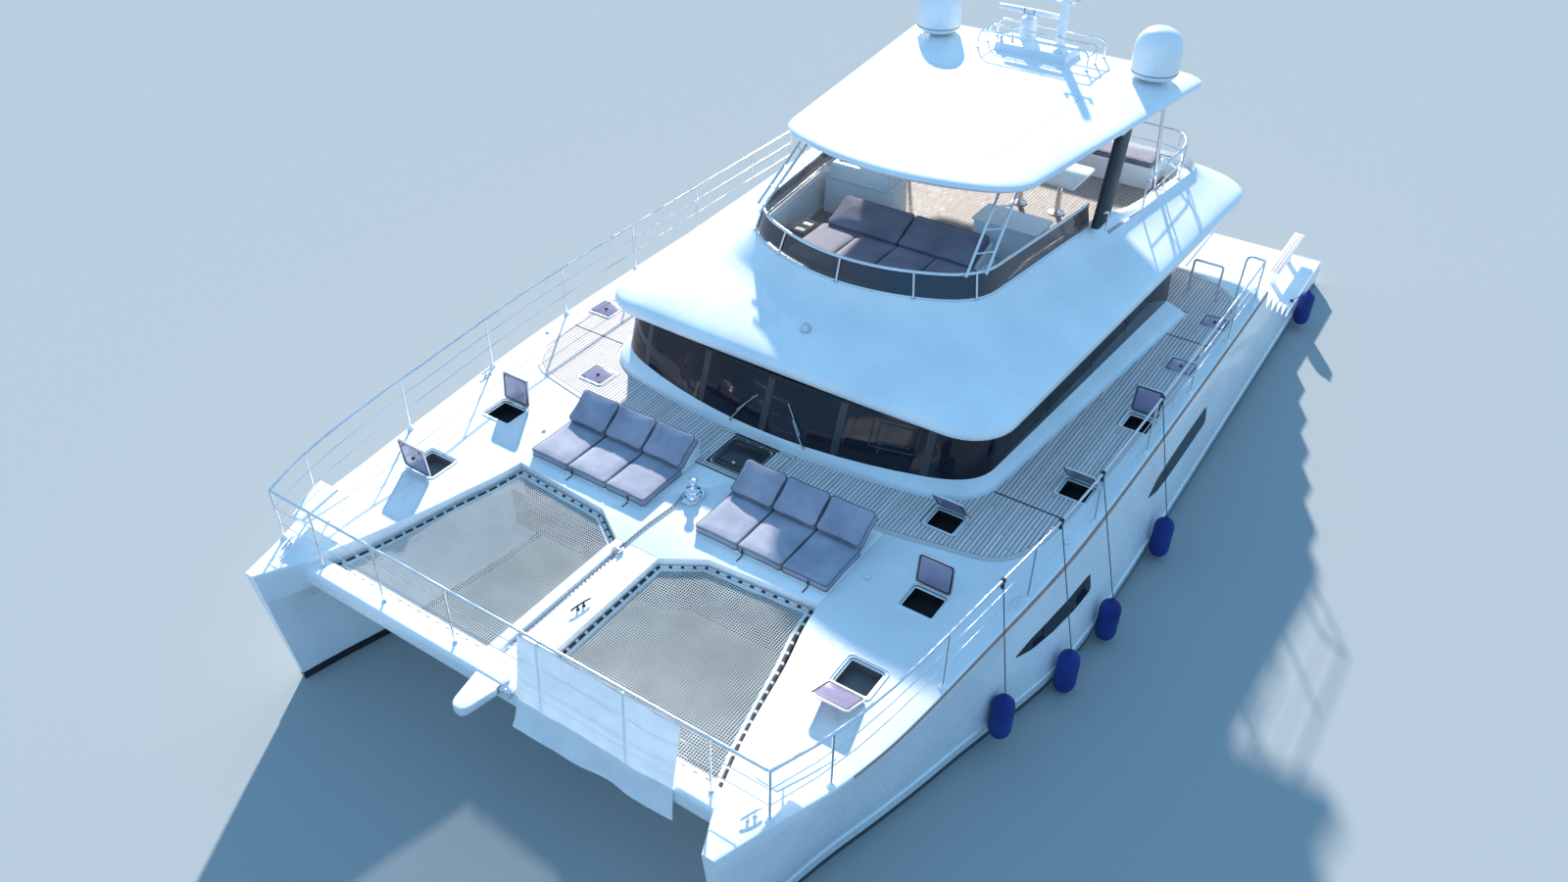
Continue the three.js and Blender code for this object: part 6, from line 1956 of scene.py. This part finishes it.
door_frame = cut(cuboid((-1.54, 3.3515, 0.86), (-0.51, 3.3865, 2.74)),
                 cuboid((-1.46, 3.30, 0.95), (-0.59, 3.45, 2.66)))
dress(coated(rounded(door_frame, 0.004, 2), black), "door_frame", "door", "black_paint", "saloon_door")
dress(coated(rounded(cuboid((-1.465, 3.362, 0.945), (-0.585, 3.374, 2.665)), 0.002, 1), dark_glass),
      "door_pane", "door", "dark_glass")
handle = pipe([(-0.57, 3.388, 1.55), (-0.57, 3.42, 1.58), (-0.57, 3.42, 1.87), (-0.57, 3.388, 1.90)], 0.010,
              0.02)
dress(coated(handle, steel), "door_handle", "door", "steel")
bulkhead = coated(rounded(copy_of("aft_bulkhead"), 0.006, 2), black)
dress(bulkhead, "saloon_bulkhead", "boat", "black_paint", "aft_bulkhead")
panes = [cuboid((a, 3.318, 1.995), (b, 3.330, 2.705))
         for a, b in ((-3.30, -2.45), (-0.45, 0.95), (1.05, 2.30), (2.45, 3.30))]
dress(coated(joined(*[rounded(p, 0.002, 1) for p in panes]), dark_glass), "bulkhead_panes", "boat",
      "dark_glass")

platform = coated(rounded(copy_of("tender_platform"), 0.02, 3), gelcoat)
in_nonskid(platform, lambda c: 0.49 < c.z < 0.51)
dress(platform, "tender_platform_moulding", "platform", "gelcoat", "tender_platform")
chocks = []
for x in (-0.9, 0.9):
    for y in (7.9, 8.9):
        chock = drawn_in(cuboid((x - 0.30, y - 0.05, 0.499), (x + 0.30, y + 0.05, 0.62)), 0.55, 0.25, 0.3)
        valley = turned([(0, -0.2), (0.16, -0.2), (0.16, 0.2), (0, 0.2)], (x, y, 0.70), 28, "Y")
        chocks.append(rounded(cut(chock, valley), 0.006, 2))
dress(coated(joined(*chocks), rubber), "tender_chocks", "platform", "black_plastic")
plank = coated(rounded(copy_of("passerelle"), 0.012, 3), gelcoat)
in_nonskid(plank, lambda c: c.z > 0.89, teak)
dress(plank, "passerelle_plank", "boat", "gelcoat", "passerelle")
print("working parts dressed")

# %% [markdown]
# ## Cushions
#
# A cushion is a foam block in a sewn cover. Piping runs round its top and bottom edges; between them the
# cover swells. The start is a slightly small block with sides that pull in between the corners. The cloth
# simulation blows it up while the piping lines stay pinned, and the swelling is capped. Each shape is
# simulated once, flat at the origin, then copied and laid in place.

# %% Helper: cushion
def pulled_ring(width, length, corner, pull, z, steps=5):
    """A rounded rectangle whose sides bow in by `pull` at their middles."""
    ring = []
    for k in range(4):
        cx = (1, -1, -1, 1)[k] * (width / 2 - corner)
        cy = (1, 1, -1, -1)[k] * (length / 2 - corner)
        for j in range(steps + 1):
            a = math.pi / 2 * (k + j / steps)
            ring.append((cx + corner * math.cos(a), cy + corner * math.sin(a), z))
        nx, ny = ((0, 1), (-1, 0), (0, -1), (1, 0))[k]
        last, span = ring[-1], (width if k in (0, 2) else length) - 2 * corner
        direction = ((-1, 0), (0, -1), (1, 0), (0, 1))[k]
        for j in range(1, 8):
            t = j / 8
            bow = pull * math.sin(math.pi * t)
            ring.append((last[0] + direction[0] * span * t - nx * bow,
                         last[1] + direction[1] * span * t - ny * bow, z))
    return ring


def swell(obj, seams, cap, voxel, pressure=4.0):
    """Blow a closed form up a little, pinned along its seams."""
    modify(obj, "REMESH", mode="VOXEL", voxel_size=voxel)
    before = np.empty(len(obj.data.vertices) * 3)
    obj.data.vertices.foreach_get("co", before)
    before = before.reshape(-1, 3)
    lines = np.array([p for seam in seams for p in eased(seam, 0.0001, 1, closed=True)])
    closest = np.array([np.min(np.linalg.norm(lines - v, axis=1)) for v in before])
    pins = obj.vertex_groups.new(name="pins")
    pins.add([int(i) for i in np.nonzero(closest < voxel * 1.6)[0]], 1.0, "REPLACE")
    cloth = obj.modifiers.new("cloth", "CLOTH")
    cloth.settings.use_pressure = True
    cloth.settings.uniform_pressure_force = pressure
    cloth.settings.effector_weights.gravity = 0
    cloth.settings.vertex_group_mass = "pins"
    cloth.settings.quality = 4
    cloth.point_cache.frame_start, cloth.point_cache.frame_end = 1, 20
    for frame_number in range(1, 21):
        bpy.context.scene.frame_set(frame_number)
    only(obj)
    bpy.ops.object.modifier_apply(modifier=cloth.name)
    bpy.context.scene.frame_set(1)
    after = np.empty(len(obj.data.vertices) * 3)
    obj.data.vertices.foreach_get("co", after)
    moved = after.reshape(-1, 3) - before
    size = np.linalg.norm(moved, axis=1, keepdims=True)
    moved *= np.minimum(1.0, cap / np.maximum(size, 1e-9))
    obj.data.vertices.foreach_set("co", (before + moved).ravel())
    obj.vertex_groups.clear()
    return modify(obj, "SUBSURF", levels=1, render_levels=1)


def cushion(width, length, height, cap, cloth_material, corner=0.045, pull=0.008, voxel=0.016, edge=0.012):
    low, high = (pulled_ring(width, length, corner, pull, z) for z in (edge, height - edge))
    inner = pulled_ring(width - 2 * edge, length - 2 * edge, corner - edge * 0.5, pull, 0.0)
    top = [(x, y, height) for x, y, z in inner]
    body = loft([inner, low, high, top])
    body = swell(body, (low, high), cap, voxel)
    coated(smooth(body, 70), cloth_material)
    cords = [coated(pipe(ring, 0.0055, ring=1, closed=True), piping) for ring in (low, high)]
    return joined(body, *cords)


def laid(pattern, at, tilt=0.0, turn=0.0, flip=False):
    """A copy of a cushion, tilted about the boat's width and set down at a place."""
    copy = twin(pattern)
    copy.rotation_euler = (math.radians(tilt), 0, math.radians(turn))
    copy.location = at
    if flip:
        copy.scale.x = -1
    settled(copy)
    if flip:
        bpy.ops.object.mode_set(mode="EDIT")
        bpy.ops.mesh.select_all(action="SELECT")
        bpy.ops.mesh.flip_normals()
        bpy.ops.object.mode_set(mode="OBJECT")
    return copy


def place_padded(obj, name, fill, *nodes):
    dress(obj, name, "boat", "canvas", *nodes)


started = time.time()
print("cushion helpers ready, quick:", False)

# %% [markdown]
# Foredeck sunbeds: three seat cushions each side, on a low white base, and three fat bolsters that lean on
# the fins behind them. Two short black straps hold the seats down in front.

# %% Foredeck sunbeds
seat_pattern = cushion(0.664, 0.855, 0.112, 0.012, cushion_cloth)
bolster_pattern = cushion(0.652, 0.50, 0.150, 0.030, cushion_cloth, corner=0.06, pull=0.010)
for side, s in SIDES:
    base = rounded(cuboid((0.435, -5.75, 1.895), (2.425, -4.90, 1.918)), 0.010, 3)
    dress(mirrored(coated(base, gelcoat), s), "sunbed_base_" + side, "boat", "gelcoat")
    for k in range(3):
        x = s * (0.42 + 0.3365 + 0.673 * k)
        nodes = ("sunbed_" + side,) if k == 0 else ()
        place_padded(laid(seat_pattern, (x, -5.33, 1.918), flip=s < 0), "sunbed_seat_%s_%d" % (side, k + 1),
                     0.8, *nodes)
        bolster = laid(bolster_pattern, (x, -4.70, 2.115), tilt=33.3, flip=s < 0)
        place_padded(bolster, "sunbed_back_%s_%d" % (side, k + 1), 0.9)
    straps = []
    for share in (0.13, 0.62):
        x = s * 0.42 + s * 2.02 * share if s < 0 else 0.42 + 2.02 * (share + 0.25)
        straps.append(rounded(cuboid((x - 0.012, -5.775, 1.915), (x + 0.012, -5.770, 2.01)), 0.001, 1))
        straps.append(rounded(cuboid((x - 0.010, -5.90, ON_DECK), (x + 0.010, -5.772, 1.9035)), 0.001, 1))
    dress(coated(joined(*straps), rubber), "sunbed_straps_" + side, "boat", "black_plastic")
print("sunbeds dressed", round(time.time() - started, 1), "s")

# %% [markdown]
# Flybridge cushions are darker. Four long seat cushions cover the plinth and two broad back cushions lean
# on a moulded wedge. The settee aft has three pads, and the cockpit sofa two seats.

# %% Flybridge and cockpit cushions
wedge = loft([[(x, 0.16, 3.295), (x, 0.79, 3.295), (x, 0.79, 3.56), (x, 0.74, 3.575), (x, 0.16, 3.33)]
              for x in (-1.34, 1.34)])
dress(coated(rounded(wedge, 0.012, 3), gelcoat), "sunpad_wedge", "boat", "gelcoat")
fly_seat_pattern = cushion(0.684, 1.235, 0.088, 0.010, fly_cloth)
fly_back_pattern = cushion(1.285, 0.66, 0.115, 0.022, fly_cloth, corner=0.06, pull=0.010)
for k in range(4):
    x = -1.38 + 0.345 + 0.69 * k
    place_padded(laid(fly_seat_pattern, (x, -0.452, 3.303)), "flybridge_seat_%d" % (k + 1), 0.8,
                 *(("fly_sunpad",) if k == 0 else ()))
for k, x in enumerate((-0.65, 0.65)):
    place_padded(laid(fly_back_pattern, (x, 0.452, 3.465), tilt=22.5), "flybridge_back_%d" % (k + 1), 0.9)
settee_pattern = cushion(1.49, 0.55, 0.088, 0.010, fly_cloth)
for k in range(3):
    place_padded(laid(settee_pattern, (-1.5 + 1.5 * k, 5.60, 3.383)), "settee_pad_%d" % (k + 1), 0.8,
                 *(("fly_seat_pad",) if k == 0 else ()))
sofa_pattern = cushion(1.20, 0.53, 0.09, 0.010, fly_cloth)
for k, x in enumerate((-0.62, 0.62)):
    place_padded(laid(sofa_pattern, (x, 6.44, 1.283)), "cockpit_seat_%d" % (k + 1), 0.8)
for obj in (seat_pattern, bolster_pattern, fly_seat_pattern, fly_back_pattern, settee_pattern, sofa_pattern):
    bpy.data.objects.remove(obj)
print("all cushions laid", round(time.time() - started, 1), "s")

# %% [markdown]
# ## Banner
#
# The banner is a plain white cloth. It is laced to the rail at its head, falls against the beam and hangs
# free below, where the wind lifts the hem. A grid is given that hang row by row: `hang` returns the place
# of a point that lies u across and v down the cloth. Solidify gives the cloth its thickness.

# %% Banner
BANNER_X, BANNER_WIDE, BANNER_LONG = 0.45, 2.20, 1.36


def hang(u, v):
    drop = v * BANNER_LONG
    x = BANNER_X + BANNER_WIDE * u
    long_wave = 0.012 * math.sin(9.0 * u + 1.3) * math.sin(math.pi * min(v * 1.1, 1))
    ripple = long_wave + 0.006 * math.sin(23 * u + 4 * v)
    if drop < 0.885:
        t = drop / 0.885
        y, z = -8.906 - 0.150 * t, 2.757 - 0.872 * t
        y -= max(ripple, -0.004) * (1 - 0.7 * t) + 0.004
        y -= 0.014 * (math.exp(-((v - 0.17) / 0.011) ** 2) + math.exp(-((v - 0.50) / 0.011) ** 2))
    else:
        t = (drop - 0.885) / (BANNER_LONG - 0.885)
        lift = 0.5 + 0.30 * math.sin(7.5 * u + 0.4) + 0.18 * math.sin(15.0 * u + 2.0) - 0.55 * u ** 6
        y = -9.062 - 0.03 * t - 0.13 * lift * t * t - max(ripple, -0.004)
        z = 1.885 - 0.475 * t + 0.13 * max(lift, 0) * t * t
    return (x + 0.01 * math.sin(5 * v + u), y, z)


bpy.ops.mesh.primitive_grid_add(x_subdivisions=72, y_subdivisions=52, size=1)
banner = bpy.context.object
for vertex in banner.data.vertices:
    vertex.co = hang(vertex.co.x + 0.5, 0.5 - vertex.co.y)
modify(banner, "SOLIDIFY", thickness=0.0014, offset=0.0)
dress(coated(smooth(banner, 80), banner_cloth), "banner_sheet", "boat", "banner_cloth", "banner")
hem = pipe([Vector(hang(k / 40, 0.004)) + Vector((0, -0.001, 0)) for k in range(41)], 0.004, ring=1)
ties = []
for k in range(9):
    x, y, z = hang(0.02 + 0.12 * k, 0.01)
    ties.append(pipe([(x, y - 0.006, z - 0.015), (x, -8.905, 2.792), (x, -8.88, 2.812),
                      (x + 0.004, -8.855, 2.792), (x, -8.875, 2.745), (x, y - 0.004, z - 0.015)], 0.0025,
                     0.008, ring=1))
hem = dress(coated(hem, rope_white), "banner_hem", "boat", "banner_cloth")
ties = dress(coated(joined(*ties), rope_white), "banner_ties", "boat", "banner_cloth")
print("banner hung")

# %% [markdown]
# ## Fenders
#
# Five fenders hang outside the port hull in knitted covers. Each is turned from a profile with domed ends,
# a gathered neck and a collar, and hangs on a black lanyard from the rail. The lanyard is pulled straight
# by the fender's weight.

# %% Fenders
knot_profile = [(0, -0.018), (0.014, -0.012), (0.018, 0.0), (0.014, 0.012), (0, 0.018)]
hitch_profile = [(0, -0.135), (0.017, -0.125), (0.027, -0.09), (0.018, -0.05), (0.030, -0.025),
                 (0.034, 0.015), (0.024, 0.03), (0, 0.034)]
FENDERS = ((-5.17, 0.93), (-3.82, 0.73), (-2.65, 0.76), (-0.56, 0.76), (7.50, 0.80))
fender_profile = [(0, 0.0), (0.030, 0.002), (0.075, 0.016), (0.110, 0.042), (0.134, 0.082), (0.146, 0.135),
                  (0.147, 0.20), (0.147, 0.50), (0.146, 0.555), (0.135, 0.61), (0.112, 0.648),
                  (0.078, 0.674), (0.046, 0.690), (0.036, 0.700), (0.040, 0.712), (0.036, 0.725),
                  (0.022, 0.735), (0, 0.738)]
for n, (y, top) in enumerate(FENDERS, 1):
    side_at = max(side_x(y, top - 0.6), side_x(y, top - 0.1), line("knuckle", y))
    centre = (side_at + 0.1503, y, top - 0.70)
    cover = turned(fender_profile, centre, 40)
    bands = [turned([(0.1465, h), (0.1495, h + 0.004), (0.1495, h + 0.010), (0.1465, h + 0.014),
                     (0.14, h + 0.007), (0.1465, h)], centre, 40) for h in (0.17, 0.51)]
    dress(coated(joined(cover, *bands), cover_knit), "fender_cover_%d" % n, "boat", "fender_cover",
          "fender_%d" % n)
    knot_at = Vector((centre[0], y, top + 0.035))
    rail_spot = Vector((rail_x(y), y, rail_top(y))) if y < 4.3 else Vector((4.90, y, 0.515))
    knots = joined(turned(knot_profile, knot_at, 16), turned(hitch_profile, rail_spot, 20))
    dress(coated(knots, rope_black), "fender_knots_%d" % n, "boat", "fender_cover")
    route = [knot_at.lerp(rail_spot, k / 15) for k in range(16)]
    lanyard = dress(coated(pipe(route, 0.007, ring=2), rope_black), "fender_lanyard_%d" % n, "boat",
                    "fender_cover")
print("fenders hung:", len(FENDERS))

# %% [markdown]
# ## Engines
#
# The two engines stand in their rooms, out of sight from every side. Their solids keep their own shape and
# take an enamel finish.

# %% Engines
for node in ("engine_port", "engine_starboard"):
    engine = NODES[node]
    engine.data.materials.clear()
    engine.data.materials.append(engine_grey)
print("engines finished in", engine_grey.name)
